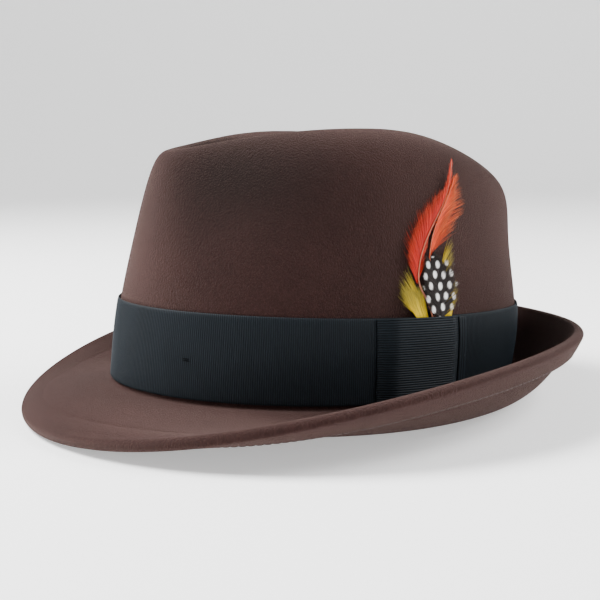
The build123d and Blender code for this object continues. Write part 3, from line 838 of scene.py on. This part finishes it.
# %% Stitching of the welt and of the sweatband
STITCHES, STITCH_GAP = 240, 0.0022
WELT_SEAM, WELT_SEAM_DEPTH, SWEAT_SEAM = 0.009, -WELT - 0.00025, 0.006
stitch_angles = even_angles(-np.pi, np.pi, STITCHES + 1)
first, last = stitch_angles[:-1] + STITCH_GAP, stitch_angles[1:] - STITCH_GAP
first_v, last_v = brim_v(first, WELT_SEAM), brim_v(last, WELT_SEAM)
welt_first = off_felt(first, first_v, WELT_SEAM_DEPTH)
welt_last = off_felt(last, last_v, WELT_SEAM_DEPTH)
points, quads = capsules(welt_first, welt_last, felt_normal(first, first_v), 0.00022)
welt_part = ("hat", "welt_stitching", "brown_thread")
new_piece("welt_stitches", points, quads, BROWN_THREAD, welt_part, weld=1e-8)

band_first, band_last = (wall(a, SWEAT_SEAM, SWEAT_IN - 0.00018) for a in (first, last))
points, quads = capsules(band_first, band_last, felt_normal(first, wall_v(first, SWEAT_SEAM)), 0.0002)
sweat_part = ("hat", "sweatband_stitching", "brown_thread")
new_piece("sweatband_stitches", points, quads, BROWN_THREAD, sweat_part, weld=1e-8)


# %% A local frame on the wall, for small pieces that sit on it
def wall_frame(angle, height, offset):
    """Origin, direction round the hat, direction up and outward normal."""
    angle = np.array([angle])
    origin = wall(angle, height, offset)[0]
    side = (wall(angle + 0.02, height, offset) - wall(angle - 0.02, height, offset))[0]
    up = (wall(angle, height + 0.006, offset) - wall(angle, height - 0.006, offset))[0]
    side /= np.linalg.norm(side)
    out = np.cross(side, up)
    out /= np.linalg.norm(out)
    return origin, side, np.cross(out, side), out


def on_frame(place, x, y, z):
    """Points from local coordinates; arrays broadcast together."""
    origin, side, up, out = place
    x, y, z = np.broadcast_arrays(x, y, z)
    return origin + x[..., None] * side + y[..., None] * up + z[..., None] * out


# %% Two short tack stitches at four places on the band
starts, ends, normals = [], [], []
for tack_angle in np.radians([32.5, -32.5, 148.0, -148.0]):
    place = wall_frame(tack_angle, 0.020, BAND_OUT + 0.00035)
    for x0, x1, y in ((-0.0021, 0.0019, 0.0006), (-0.0018, 0.0021, -0.0003)):
        starts.append(on_frame(place, np.array([x0]), np.array([y]), np.array([0.0]))[0])
        ends.append(on_frame(place, np.array([x1]), np.array([y - 0.0002]), np.array([0.0]))[0])
        normals.append(place[3])
points, quads = capsules(np.array(starts), np.array(ends), np.array(normals), 0.0003)
tack_part = ("hat", "band_tacks", "black_thread")
new_piece("band_tack_stitches", points, quads, BLACK_THREAD, tack_part, weld=1e-8)

# %% Rear bow: two loops of narrow ribbon and a knot
BACK = wall_frame(np.pi, 0.012, SWEAT_IN - 0.0013)


def bow_loop(side):
    """Flat teardrop ring: a ribbon edge-on round an ellipse."""
    t = np.linspace(0, 2 * np.pi, 49)[:-1]
    x = side * (0.0052 + 0.0037 * np.cos(t))
    y = 0.0021 * np.sin(t) * (1.15 + 0.3 * np.cos(t))
    wall_half, depth = 0.00035, 0.0009
    ring = []
    for grow, z in ((1, 0.0), (1, -depth), (-1, -depth), (-1, 0.0)):
        scale = 1 + grow * wall_half / 0.003
        ring.append(on_frame(BACK, side * 0.0052 + (x - side * 0.0052) * scale, y * scale, z))
    return np.stack(ring)


loops = [bow_loop(1), bow_loop(-1)]
loop_faces = grid_faces(4, 48, wrap_rows=True, wrap_columns=True)
loop_points = np.concatenate([g.reshape(-1, 3) for g in loops])
loop_faces = np.concatenate([loop_faces, loop_faces + loops[0].shape[0] * loops[0].shape[1]])
loop_part = ("hat", "rear_bow_loops", "black_grosgrain")
new_piece("rear_bow_ribbon", loop_points, loop_faces, GROSGRAIN, loop_part, weld=1e-8)


def pebble(name, place, half, power, material, part):
    """Rounded block: a sphere whose coordinates are raised to a small power."""
    a = np.linspace(0, np.pi, 15)[:, None]
    b = np.linspace(0, 2 * np.pi, 29)[:-1][None, :]

    def eased(value):
        return np.sign(value) * np.abs(value) ** power

    x = half[0] * eased(np.sin(a)) * eased(np.cos(b))
    y = half[1] * eased(np.sin(a)) * eased(np.sin(b))
    z = half[2] * eased(np.cos(a)) + 0 * b
    grid = on_frame(place, x, y, z)
    return grid_piece(name, grid, material, part, weld=1e-7)


knot_place = wall_frame(np.pi, 0.012, SWEAT_IN - 0.0020)
knot_part = ("hat", "rear_bow_knot", "black_grosgrain")
pebble("rear_bow_wrap", knot_place, (0.0008, 0.0017, 0.0007), 0.45, GROSGRAIN, knot_part)
tag_place = wall_frame(np.radians(160), 0.024, SWEAT_IN - 0.00125)
tag_part = ("hat", "size_tag", "tag_cloth")
pebble("blank_size_tag", tag_place, (0.0075, 0.0045, 0.00018), 0.18, TAG_CLOTH, tag_part)

# %% [markdown]
# ## The feather spray
# A feather is a shaft with barbs down both sides. A flat vane with a picture of
# barbs looks like card, so every barb is a thin strip with three edges that
# tapers to its tip. All the barbs of a feather are worked out at once, from
# arrays of roots, tips and widths, and join into one mesh.


# %% The spray's own plane, tucked between the band and the bow
SPRAY_ANGLE, SPRAY_OFFSET, SPRAY_LEAN = np.radians(100.0), 0.0027, 0.18
spray_base = wall(np.array([SPRAY_ANGLE]), 0.042, SPRAY_OFFSET)[0]
spray_side = wall(np.array([SPRAY_ANGLE + 0.02]), 0.042, SPRAY_OFFSET)[0] - spray_base
spray_side[2] = 0.0
spray_side /= np.linalg.norm(spray_side)
level_out = np.cross(spray_side, [0.0, 0.0, 1.0])
spray_out = np.cross(spray_side, np.array([0.0, 0.0, 1.0]) - level_out * SPRAY_LEAN)
spray_out /= np.linalg.norm(spray_out)
SPRAY = (spray_base, spray_side, np.cross(spray_out, spray_side), spray_out)
SETTLE = 0.0020
MM = 0.001


def spray_points(x, y, z):
    """Spray coordinates in millimetres; the tips settle towards the felt."""
    settled = z * MM - SETTLE * np.clip(y / 75.0, 0, 1.2) ** 2
    return on_frame(SPRAY, x * MM, y * MM, settled)


def shaft_line(points, s):
    """Smooth line through the middle of a given control polygon."""
    points = np.asarray(points, float)
    return weights(s, len(points)) @ points


def shaft_side(points, s):
    """Unit tangent and left-hand normal of a shaft line."""
    tangent = shaft_line(points, np.clip(s + 0.01, 0, 1)) - shaft_line(points, np.clip(s - 0.01, 0, 1))
    tangent /= np.linalg.norm(tangent, axis=-1, keepdims=True)
    return tangent, np.stack([-tangent[:, 1], tangent[:, 0]], -1)


# %% Barbs: roots, tips, sideways bend, width and depth, all as arrays
def barb_strips(root, tip, bend, width, depth_root, depth_tip, segments=6):
    """Quadratic curves from root to tip, three edges each, tapering."""
    t = np.linspace(0, 1, segments + 1)[None, :, None]
    along = tip - root
    side = np.stack([-along[:, 1], along[:, 0]], -1)
    side /= np.linalg.norm(side, axis=-1, keepdims=True) + 1e-9
    middle = (root + tip) / 2 + side * bend[:, None]
    line = root[:, None] * (1 - t) ** 2 + 2 * middle[:, None] * t * (1 - t) + tip[:, None] * t**2
    taper = width[:, None] * np.clip(1.04 - t[..., 0] ** 1.7, 0.06, 1)
    depth = depth_root[:, None] * (1 - t[..., 0]) + depth_tip[:, None] * t[..., 0]
    left = line + side[:, None] * taper[..., None] / 2
    right = line - side[:, None] * taper[..., None] / 2
    x = np.stack([left[..., 0], line[..., 0], right[..., 0]], -1)
    y = np.stack([left[..., 1], line[..., 1], right[..., 1]], -1)
    z = np.stack([depth, depth + taper * 0.35, depth], -1)
    return x, y, z


def barb_faces(count, segments=6):
    """Three quads a segment and a triangle at each end, as triangles."""
    quads = grid_faces(segments + 1, 3, wrap_columns=True)
    one = np.concatenate([quads[:, [0, 2, 1]], quads[:, [0, 3, 2]]])
    last = segments * 3
    one = np.concatenate([one, [[0, 1, 2], [last, last + 2, last + 1]]])
    return (one[None] + (np.arange(count) * (segments + 1) * 3)[:, None, None]).reshape(-1, 3)


def feather_piece(name, sets, material, node, slot, spots=None):
    """Joins sets of barbs into one feather and stores tone and shade."""
    x, y, z = (np.concatenate([s[k] for s in sets]) for k in range(3))
    tone = np.broadcast_to(np.linspace(0, 1, x.shape[1])[None, :, None], x.shape)
    shade = np.broadcast_to(dice.random(len(x))[:, None, None], x.shape)
    layers = {"tone": tone, "shade": shade}
    if spots is not None:
        layers["spot"] = spots(x, y)
    faces = barb_faces(len(x), x.shape[1] - 1)
    part = ("feather_spray", node, slot)
    new_piece(name, spray_points(x, y, z), faces, material, part, layers=layers)


def vane_barbs(shaft, count, side, length, angle, width, depth, curl=0.6, start=0.0, stop=1.0, segments=6):
    """Barbs off one side of a shaft; length and angle vary along it."""
    s = np.sort(dice.uniform(start, stop, count))
    root = shaft_line(shaft, s)
    tangent, normal = shaft_side(shaft, s)
    share = (s - start) / (stop - start)
    reach = np.interp(share, np.linspace(0, 1, len(length)), length) * dice.uniform(0.88, 1.08, count)
    lean = np.radians(np.interp(share, np.linspace(0, 1, len(angle)), angle) + dice.normal(0, 2.0, count))
    direction = tangent * np.cos(lean)[:, None] + side * normal * np.sin(lean)[:, None]
    tip = root + direction * reach[:, None]
    bend = -side * curl * reach * 0.1 + dice.normal(0, 0.12, count)
    wide = width * dice.uniform(0.75, 1.2, count)
    lift = depth + dice.uniform(0.05, 0.55, count)
    return barb_strips(root, tip, bend, wide, np.full(count, depth), lift, segments)


def fan_barbs(root_from, root_to, count, angles, lengths, width, depth, curl=0.5):
    """Loose barbs that fan out from a short line; angles are from upright."""
    s = dice.random(count)
    root = np.array(root_from) * (1 - s[:, None]) + np.array(root_to) * s[:, None]
    lean = np.radians(np.interp(s, np.linspace(0, 1, len(angles)), angles) + dice.normal(0, 3.0, count))
    reach = np.interp(s, np.linspace(0, 1, len(lengths)), lengths) * dice.uniform(0.7, 1.1, count)
    tip = root + reach[:, None] * np.stack([np.sin(lean), np.cos(lean)], -1)
    wide = width * dice.uniform(0.6, 1.2, count)
    lift = depth + dice.uniform(0.0, 0.7, count)
    return barb_strips(root, tip, curl * reach * 0.12, wide, np.full(count, depth), lift)


dice = np.random.default_rng(7)


# %% Feather finish: colour along each barb, and a shade of its own for each
def make_feather(name, stops, spotted=False):
    """A ramp along the barb, made lighter or darker barb by barb."""
    material, tree, shader = new_material(name, 0.55, 0.03, (1, 0.9, 0.8, 1), 0.2)
    tone = add_node(tree, "ShaderNodeAttribute", attribute_name="tone")
    shade = add_node(tree, "ShaderNodeAttribute", attribute_name="shade")
    ramp = add_node(tree, "ShaderNodeValToRGB")
    while len(ramp.color_ramp.elements) < len(stops):
        ramp.color_ramp.elements.new(0.5)
    for element, (place, colour) in zip(ramp.color_ramp.elements, stops):
        element.position = place
        element.color = (*colour, 1)
    vary = add_node(tree, "ShaderNodeMapRange")
    set_inputs(vary, To_Min=0.45, To_Max=1.25)
    scaled = add_node(tree, "ShaderNodeMix", data_type="RGBA", blend_type="MULTIPLY")
    scaled.inputs["Factor"].default_value = 1.0
    link = tree.links.new
    link(tone.outputs["Fac"], ramp.inputs["Fac"])
    link(shade.outputs["Fac"], vary.inputs["Value"])
    link(ramp.outputs["Color"], scaled.inputs["A"])
    link(vary.outputs["Result"], scaled.inputs["B"])
    grain = add_node(tree, "ShaderNodeGroup", node_tree=FIBRE_GRAIN)
    bump = add_node(tree, "ShaderNodeBump", Distance=0.00006, Strength=1.0)
    link(grain.outputs["Height"], bump.inputs["Height"])
    link(bump.outputs["Normal"], shader.inputs["Normal"])
    if not spotted:
        link(scaled.outputs["Result"], shader.inputs["Base Color"])
        return material
    spot = add_node(tree, "ShaderNodeAttribute", attribute_name="spot")
    dots = add_node(tree, "ShaderNodeMix", data_type="RGBA")
    dots.inputs["B"].default_value = (0.92, 0.90, 0.88, 1)
    link(spot.outputs["Fac"], dots.inputs["Factor"])
    link(scaled.outputs["Result"], dots.inputs["A"])
    link(dots.outputs["Result"], shader.inputs["Base Color"])
    return material


RED_STOPS = [(0, (0.36, 0.008, 0.003)), (0.55, (0.46, 0.014, 0.004)), (1, (0.50, 0.045, 0.010))]
ORANGE_STOPS = [(0, (0.62, 0.040, 0.003)), (0.6, (0.60, 0.055, 0.005)), (1, (0.52, 0.10, 0.015))]
YELLOW_STOPS = [(0, (0.86, 0.60, 0.004)), (0.5, (0.66, 0.46, 0.008)), (1, (0.30, 0.26, 0.05))]
GUINEA_STOPS = [(0, (0.008, 0.004, 0.0035)), (1, (0.016, 0.009, 0.007))]
HORN = (0.36, 0.10, 0.05), (0.52, 0.20, 0.11)
RED_BARBS = make_feather("red feather", RED_STOPS)
ORANGE_BARBS = make_feather("orange feather", ORANGE_STOPS)
YELLOW_BARBS = make_feather("yellow feather", YELLOW_STOPS)
GUINEA_BARBS = make_feather("spotted feather", GUINEA_STOPS, spotted=True)
QUILL_HORN = make_plain("quill horn", *HORN, 0.4, 800, 3000, 0.00004, 0.0, 0.5)

# %% Red feather: two full vanes and a fringe of thin, longer barbs
RED_SHAFT = [(-9.4, 15.5), (-7.6, 23.0), (-4.2, 31.0), (3.6, 41.5), (13.0, 51.5)]
RED_SHAFT += [(19.0, 60.5), (22.6, 72.4)]
LEFT_REACH, LEFT_LEAN = [12, 14, 15, 14, 11, 8, 4], [34, 32, 28, 25, 20, 14, 6]
RIGHT_REACH, RIGHT_LEAN = [9, 8, 4, 3.5, 4, 7, 4], [24, 18, 11, 10, 12, 16, 6]
FRINGE_REACH, FRINGE_LEAN = [17, 18, 17, 14, 9, 6], [37, 36, 33, 30, 24, 16]
red_sets = [
    vane_barbs(RED_SHAFT, 380, 1, LEFT_REACH, LEFT_LEAN, 0.55, -0.65, stop=0.985),
    vane_barbs(RED_SHAFT, 230, -1, RIGHT_REACH, RIGHT_LEAN, 0.55, -0.65, stop=0.985),
    vane_barbs(RED_SHAFT, 90, 1, FRINGE_REACH, FRINGE_LEAN, 0.24, -0.6, stop=0.95),
]
feather_piece("red_feather_vane", red_sets, RED_BARBS, "feather_red", "red_feather")

# %% Orange feather, which shows along the right of the red one
ORANGE_SHAFT = [(-0.4, 26.8), (1.2, 33.0), (5.2, 41.0), (11.8, 49.3), (17.4, 56.0), (23.0, 65.0)]
LEFT_REACH, LEFT_LEAN = [3, 3, 3, 5, 5], [6, 6, 7, 12, 10]
RIGHT_REACH, RIGHT_LEAN = [17, 18, 17, 14, 10, 5], [27, 25, 22, 18, 14, 8]
FRINGE_REACH, FRINGE_LEAN = [22, 23, 21, 17, 12, 6], [40, 38, 35, 30, 24, 14]
orange_sets = [
    vane_barbs(ORANGE_SHAFT, 90, 1, LEFT_REACH, LEFT_LEAN, 0.5, -0.15, stop=0.96),
    vane_barbs(ORANGE_SHAFT, 300, -1, RIGHT_REACH, RIGHT_LEAN, 0.50, -0.15, curl=0.9, stop=0.97),
    vane_barbs(ORANGE_SHAFT, 120, -1, FRINGE_REACH, FRINGE_LEAN, 0.24, -0.1, curl=0.9, stop=0.97),
    fan_barbs((-0.6, 27.5), (4.6, 38.0), 80, [60, 52, 44], [20, 19, 18], 0.22, -0.1, curl=0.8),
]
feather_piece("orange_feather_vane", orange_sets, ORANGE_BARBS, "feather_orange", "orange_feather")


# %% Spotted feather: rows of pale ovals, every other row shifted by half
SPOT_START, SPOT_ROW, SPOT_COLUMN, SPOT_TOP = 3.0, 5.2, 5.5, 27.5
SPOT_HALF_WIDTH, SPOT_HALF_HEIGHT = 1.2, 1.75


def guinea_spots(x, y):
    """Soft ovals on a staggered grid, in the feather's own plane."""
    row = np.round((y - SPOT_START) / SPOT_ROW)
    shift = SPOT_COLUMN / 2 * (row % 2)
    column = np.round((x - SPOT_START - shift) / SPOT_COLUMN)
    wander = 0.35 * np.sin(3.1 * row + 1.7 * column)
    dx = (x - SPOT_START - shift - column * SPOT_COLUMN - wander) / SPOT_HALF_WIDTH
    drop = 0.4 * np.cos(2.3 * column + row)
    dy = (y - SPOT_START - row * SPOT_ROW - drop) / SPOT_HALF_HEIGHT
    return np.clip((1.12 - np.hypot(dx, dy)) / 0.25, 0, 1) * (y < SPOT_TOP)


GUINEA_SHAFT = [(0.8, -3.0), (2.0, 4.0), (2.2, 11.0), (0.8, 18.0), (-0.6, 24.0)]
LEFT_REACH, LEFT_LEAN = [10, 12, 11, 9, 5], [58, 52, 42, 34, 20]
RIGHT_REACH, RIGHT_LEAN = [10, 14, 14, 11, 7], [54, 48, 46, 42, 34]
FRINGE_REACH, FRINGE_LEAN = [13, 17, 17, 14], [58, 54, 50, 44]
SMOOTH = {"curl": 0.7, "segments": 16}
guinea_sets = []
for depth, count in ((0.75, 210), (0.95, 150)):
    left = vane_barbs(GUINEA_SHAFT, count, 1, LEFT_REACH, LEFT_LEAN, 0.6, depth, **SMOOTH)
    right = vane_barbs(GUINEA_SHAFT, count, -1, RIGHT_REACH, RIGHT_LEAN, 0.6, depth, **SMOOTH)
    guinea_sets += [left, right]
fringe = vane_barbs(GUINEA_SHAFT, 60, -1, FRINGE_REACH, FRINGE_LEAN, 0.18, 0.85, segments=16)
guinea_sets.append(fringe)
feather_piece(
    "spotted_feather_vane", guinea_sets, GUINEA_BARBS, "feather_guinea", "spotted_feather", guinea_spots
)

# %% Yellow feathers behind the others
yellow_front_sets = [
    fan_barbs((-10.6, -1.6), (-4.6, -1.6), 260, [-26, -17, -8], [17, 17, 15], 0.55, -1.1, curl=0.4),
    fan_barbs((-12.8, 3.0), (-8.5, 11.0), 110, [-44, -36, -28], [12, 14, 14], 0.22, -1.0, curl=0.5),
    fan_barbs((-10.5, 0.0), (-7.0, 6.0), 50, [-52, -46, -40], [13, 13, 12], 0.16, -0.9, curl=0.5),
]
feather_piece(
    "yellow_feather_front", yellow_front_sets, YELLOW_BARBS, "feather_yellow_front", "yellow_feather"
)
yellow_rear_sets = [
    fan_barbs((4.5, 13.0), (8.0, 25.0), 90, [46, 40, 36], [15, 14, 14], 0.22, -0.8, curl=0.5),
    fan_barbs((6.5, -1.5), (9.0, 8.0), 60, [54, 48, 42], [8, 11, 10], 0.24, -0.9, curl=0.5),
    fan_barbs((5.5, -2.5), (9.5, -2.5), 90, [-6, 8, 22], [14, 15, 10], 0.55, -1.1, curl=0.4),
]
feather_piece("yellow_feather_rear", yellow_rear_sets, YELLOW_BARBS, "feather_yellow_rear", "yellow_feather")


# %% Quills: one tapering shaft for each of the red, orange and spotted feathers, from the pocket to its tip
QUILL_FOOT = -17.0


def quill(name, foot, via, line, depth, node, thin=0.12):
    """Round tube of shrinking radius along a shaft line."""
    s = np.linspace(0, 1, 61)
    path = [(foot, QUILL_FOOT), (foot, -8.0), *via, *line]
    centre = shaft_line(path, s)
    _, normal = shaft_side(path, s)
    turn = np.linspace(0, 2 * np.pi, 11)[:-1]
    radius = (0.48 * (1 - s) + thin * s)[:, None]
    x = centre[:, :1] + normal[:, :1] * radius * np.cos(turn)
    y = centre[:, 1:] + normal[:, 1:] * radius * np.cos(turn)
    z = depth[0] * (1 - s[:, None]) + depth[1] * s[:, None] + radius * np.sin(turn)
    ends = [np.broadcast_to(g[i].mean(), (1, 10)) for g in (x, y, z) for i in (0, -1)]
    x = np.concatenate([ends[0], x, ends[1]])
    y = np.concatenate([ends[2], y, ends[3]])
    z = np.concatenate([ends[4], z, ends[5]])
    part = ("feather_spray", node, "quill_horn")
    grid_piece(name, spray_points(x, y, z), QUILL_HORN, part, weld=1e-7)


quill("red_feather_shaft", -2.4, [(-2.6, 2.0), (-5.6, 9.0)], RED_SHAFT, (-0.25, -0.25), "quill_red")
ORANGE_VIA, ORANGE_DEPTH = [(-1.0, 2.0), (-0.9, 14.0)], (-0.25, 0.1)
quill("orange_feather_shaft", -1.2, ORANGE_VIA, ORANGE_SHAFT, ORANGE_DEPTH, "quill_orange", 0.08)
quill("spotted_feather_shaft", 0.0, [], GUINEA_SHAFT, (-0.25, 0.7), "quill_guinea", 0.06)

# %% Binding thread and backing that hold the quills together
binding_turns, binding_points = 9, 48
t = np.linspace(0, 2 * np.pi, binding_points + 1)[:-1]
rings = []
for k in range(binding_turns * 2 + 1):
    swell = 0.10 * (k % 2)
    x = -1.4 + (3.65 + swell) * np.sign(np.cos(t)) * np.abs(np.cos(t)) ** 0.5
    z = -0.15 + (0.85 + swell) * np.sign(np.sin(t)) * np.abs(np.sin(t)) ** 0.5
    rings.append(spray_points(x, -15.0 + 5.0 * k / (2 * binding_turns) + 0 * x, z - 0.1))
inner_x, inner_z = -1.4 + (x + 1.4) * 0.93, -0.25 + (z + 0.15) * 0.8
rings += [spray_points(inner_x, y + 0 * x, inner_z) for y in (-10.0, -15.0)]
binding_part = ("feather_spray", "quill_binding", "black_thread")
grid_piece("quill_thread_binding", np.stack(rings), BLACK_THREAD, binding_part, wrap_rows=True)

a = np.linspace(0, np.pi, 13)[:, None]
b = np.linspace(0, 2 * np.pi, 49)[:-1][None, :]
x = -1.4 + 3.3 * np.sin(a) * np.sign(np.cos(b)) * np.abs(np.cos(b)) ** 0.4
y = -3.2 + 6.2 * np.sin(a) * np.sign(np.sin(b)) * np.abs(np.sin(b)) ** 0.4
z = -1.05 + 0.19 * np.cos(a) + 0 * b
grid = spray_points(x, y, z)
backing_part = ("feather_spray", "feather_backing", "backing_felt")
grid_piece("feather_felt_backing", grid, BLACK_THREAD, backing_part, weld=1e-7)

# %% [markdown]
# ## Stage
# Dark felt only shows its form in soft light that grazes it, so one broad light
# stands at the front left and one at the back. The hat stands in a white bowl
# that glows a little, as a paper sweep does in a bright studio: it lifts the
# underside of the brim, while the dents on top, which only see the dark
# ceiling, stay deep. The pinch dents are darkened further by painted shade
# in the felt's colour.


# %% White sweep: a flat floor that curves up into a wall all round
SWEEP_GLOW, SWEEP_DROP, SWEEP_SIDES = 0.50, 0.0006, 96


def make_sweep():
    """Surface of revolution: flat disc, quarter circle, then straight up."""
    material = bpy.data.materials.new("white sweep")
    material.use_nodes = True
    shader = material.node_tree.nodes["Principled BSDF"]
    set_inputs(shader, Base_Color=(0.88, 0.88, 0.88, 1), Roughness=0.9)
    set_inputs(shader, Emission_Color=(1, 1, 1, 1), Emission_Strength=SWEEP_GLOW)
    bend = np.linspace(0, np.pi / 2, 13)
    reach = np.concatenate([[0.01, 1.0], 2.2 + 0.9 * np.sin(bend), [3.1]])
    height = np.concatenate([[0.0, 0.0], 0.9 * (1 - np.cos(bend)), [1.5]]) - SWEEP_DROP
    turn = np.linspace(0, 2 * np.pi, SWEEP_SIDES + 1)[:-1]
    points = np.stack(
        [reach[:, None] * np.sin(turn), -reach[:, None] * np.cos(turn), height[:, None] + 0 * turn], -1
    ).reshape(-1, 3)
    faces = [list(range(SWEEP_SIDES))]
    faces += grid_faces(len(reach), SWEEP_SIDES, wrap_columns=True)[:, ::-1].tolist()
    mesh = bpy.data.meshes.new("white sweep")
    mesh.from_pydata(points.tolist(), [], faces)
    mesh.polygons.foreach_set("use_smooth", np.ones(len(faces), dtype=bool))
    mesh.materials.append(material)
    sweep = bpy.data.objects.new("white sweep", mesh)
    bpy.context.scene.collection.objects.link(sweep)


make_sweep()


# %% Lights
def area_light(name, azimuth, elevation, distance, size, power):
    """Square soft light on a sphere round the hat, facing it."""
    a, e = np.radians([azimuth, elevation])
    away = distance * np.array([np.sin(a) * np.cos(e), -np.cos(a) * np.cos(e), np.sin(e)])
    light = bpy.data.lights.new(name, "AREA")
    light.shape = "SQUARE"
    light.size, light.energy = size, power
    lamp = bpy.data.objects.new(name, light)
    lamp.location = away + np.array([0, 0, 0.06])
    lamp.rotation_euler = Vector(away).to_track_quat("Z", "Y").to_euler()
    bpy.context.scene.collection.objects.link(lamp)


area_light("front left softbox", -36.0, 48.0, 1.5, 0.8, 88.0)
area_light("back right softbox", 152.0, 38.0, 1.6, 0.9, 38.0)
world = bpy.data.worlds.new("dim ceiling")
world.use_nodes = True
set_inputs(world.node_tree.nodes["Background"], Color=(1, 1, 1, 1), Strength=0.12)
bpy.context.scene.world = world

# %% Camera
CAMERA_AZIMUTH, CAMERA_ELEVATION, CAMERA_ROLL = np.radians([62.59, 8.73, -0.93])
CAMERA_DISTANCE, CAMERA_LENS = 0.5228, 61.58
CAMERA_TARGET = np.array([0.01377, -0.01074, 0.05215])


def make_camera():
    """Camera on a sphere round its target, turned a little about its view."""
    a, e, roll = CAMERA_AZIMUTH, CAMERA_ELEVATION, CAMERA_ROLL
    back = np.array([np.sin(a) * np.cos(e), -np.cos(a) * np.cos(e), np.sin(e)])
    right = np.cross(-back, [0, 0, 1.0])
    right /= np.linalg.norm(right)
    up = np.cross(back, right)
    turned_right = right * np.cos(roll) + up * np.sin(roll)
    turned_up = up * np.cos(roll) - right * np.sin(roll)
    data = bpy.data.cameras.new("camera")
    data.lens, data.sensor_width = CAMERA_LENS, 36.0
    data.clip_start, data.clip_end = 0.01, 20.0
    camera = bpy.data.objects.new("camera", data)
    turn = Matrix(np.stack([turned_right, turned_up, back], axis=1).tolist())
    place = Matrix.Translation((CAMERA_TARGET + back * CAMERA_DISTANCE).tolist())
    camera.matrix_world = place @ turn.to_4x4()
    bpy.context.scene.collection.objects.link(camera)
    bpy.context.scene.camera = camera


make_camera()
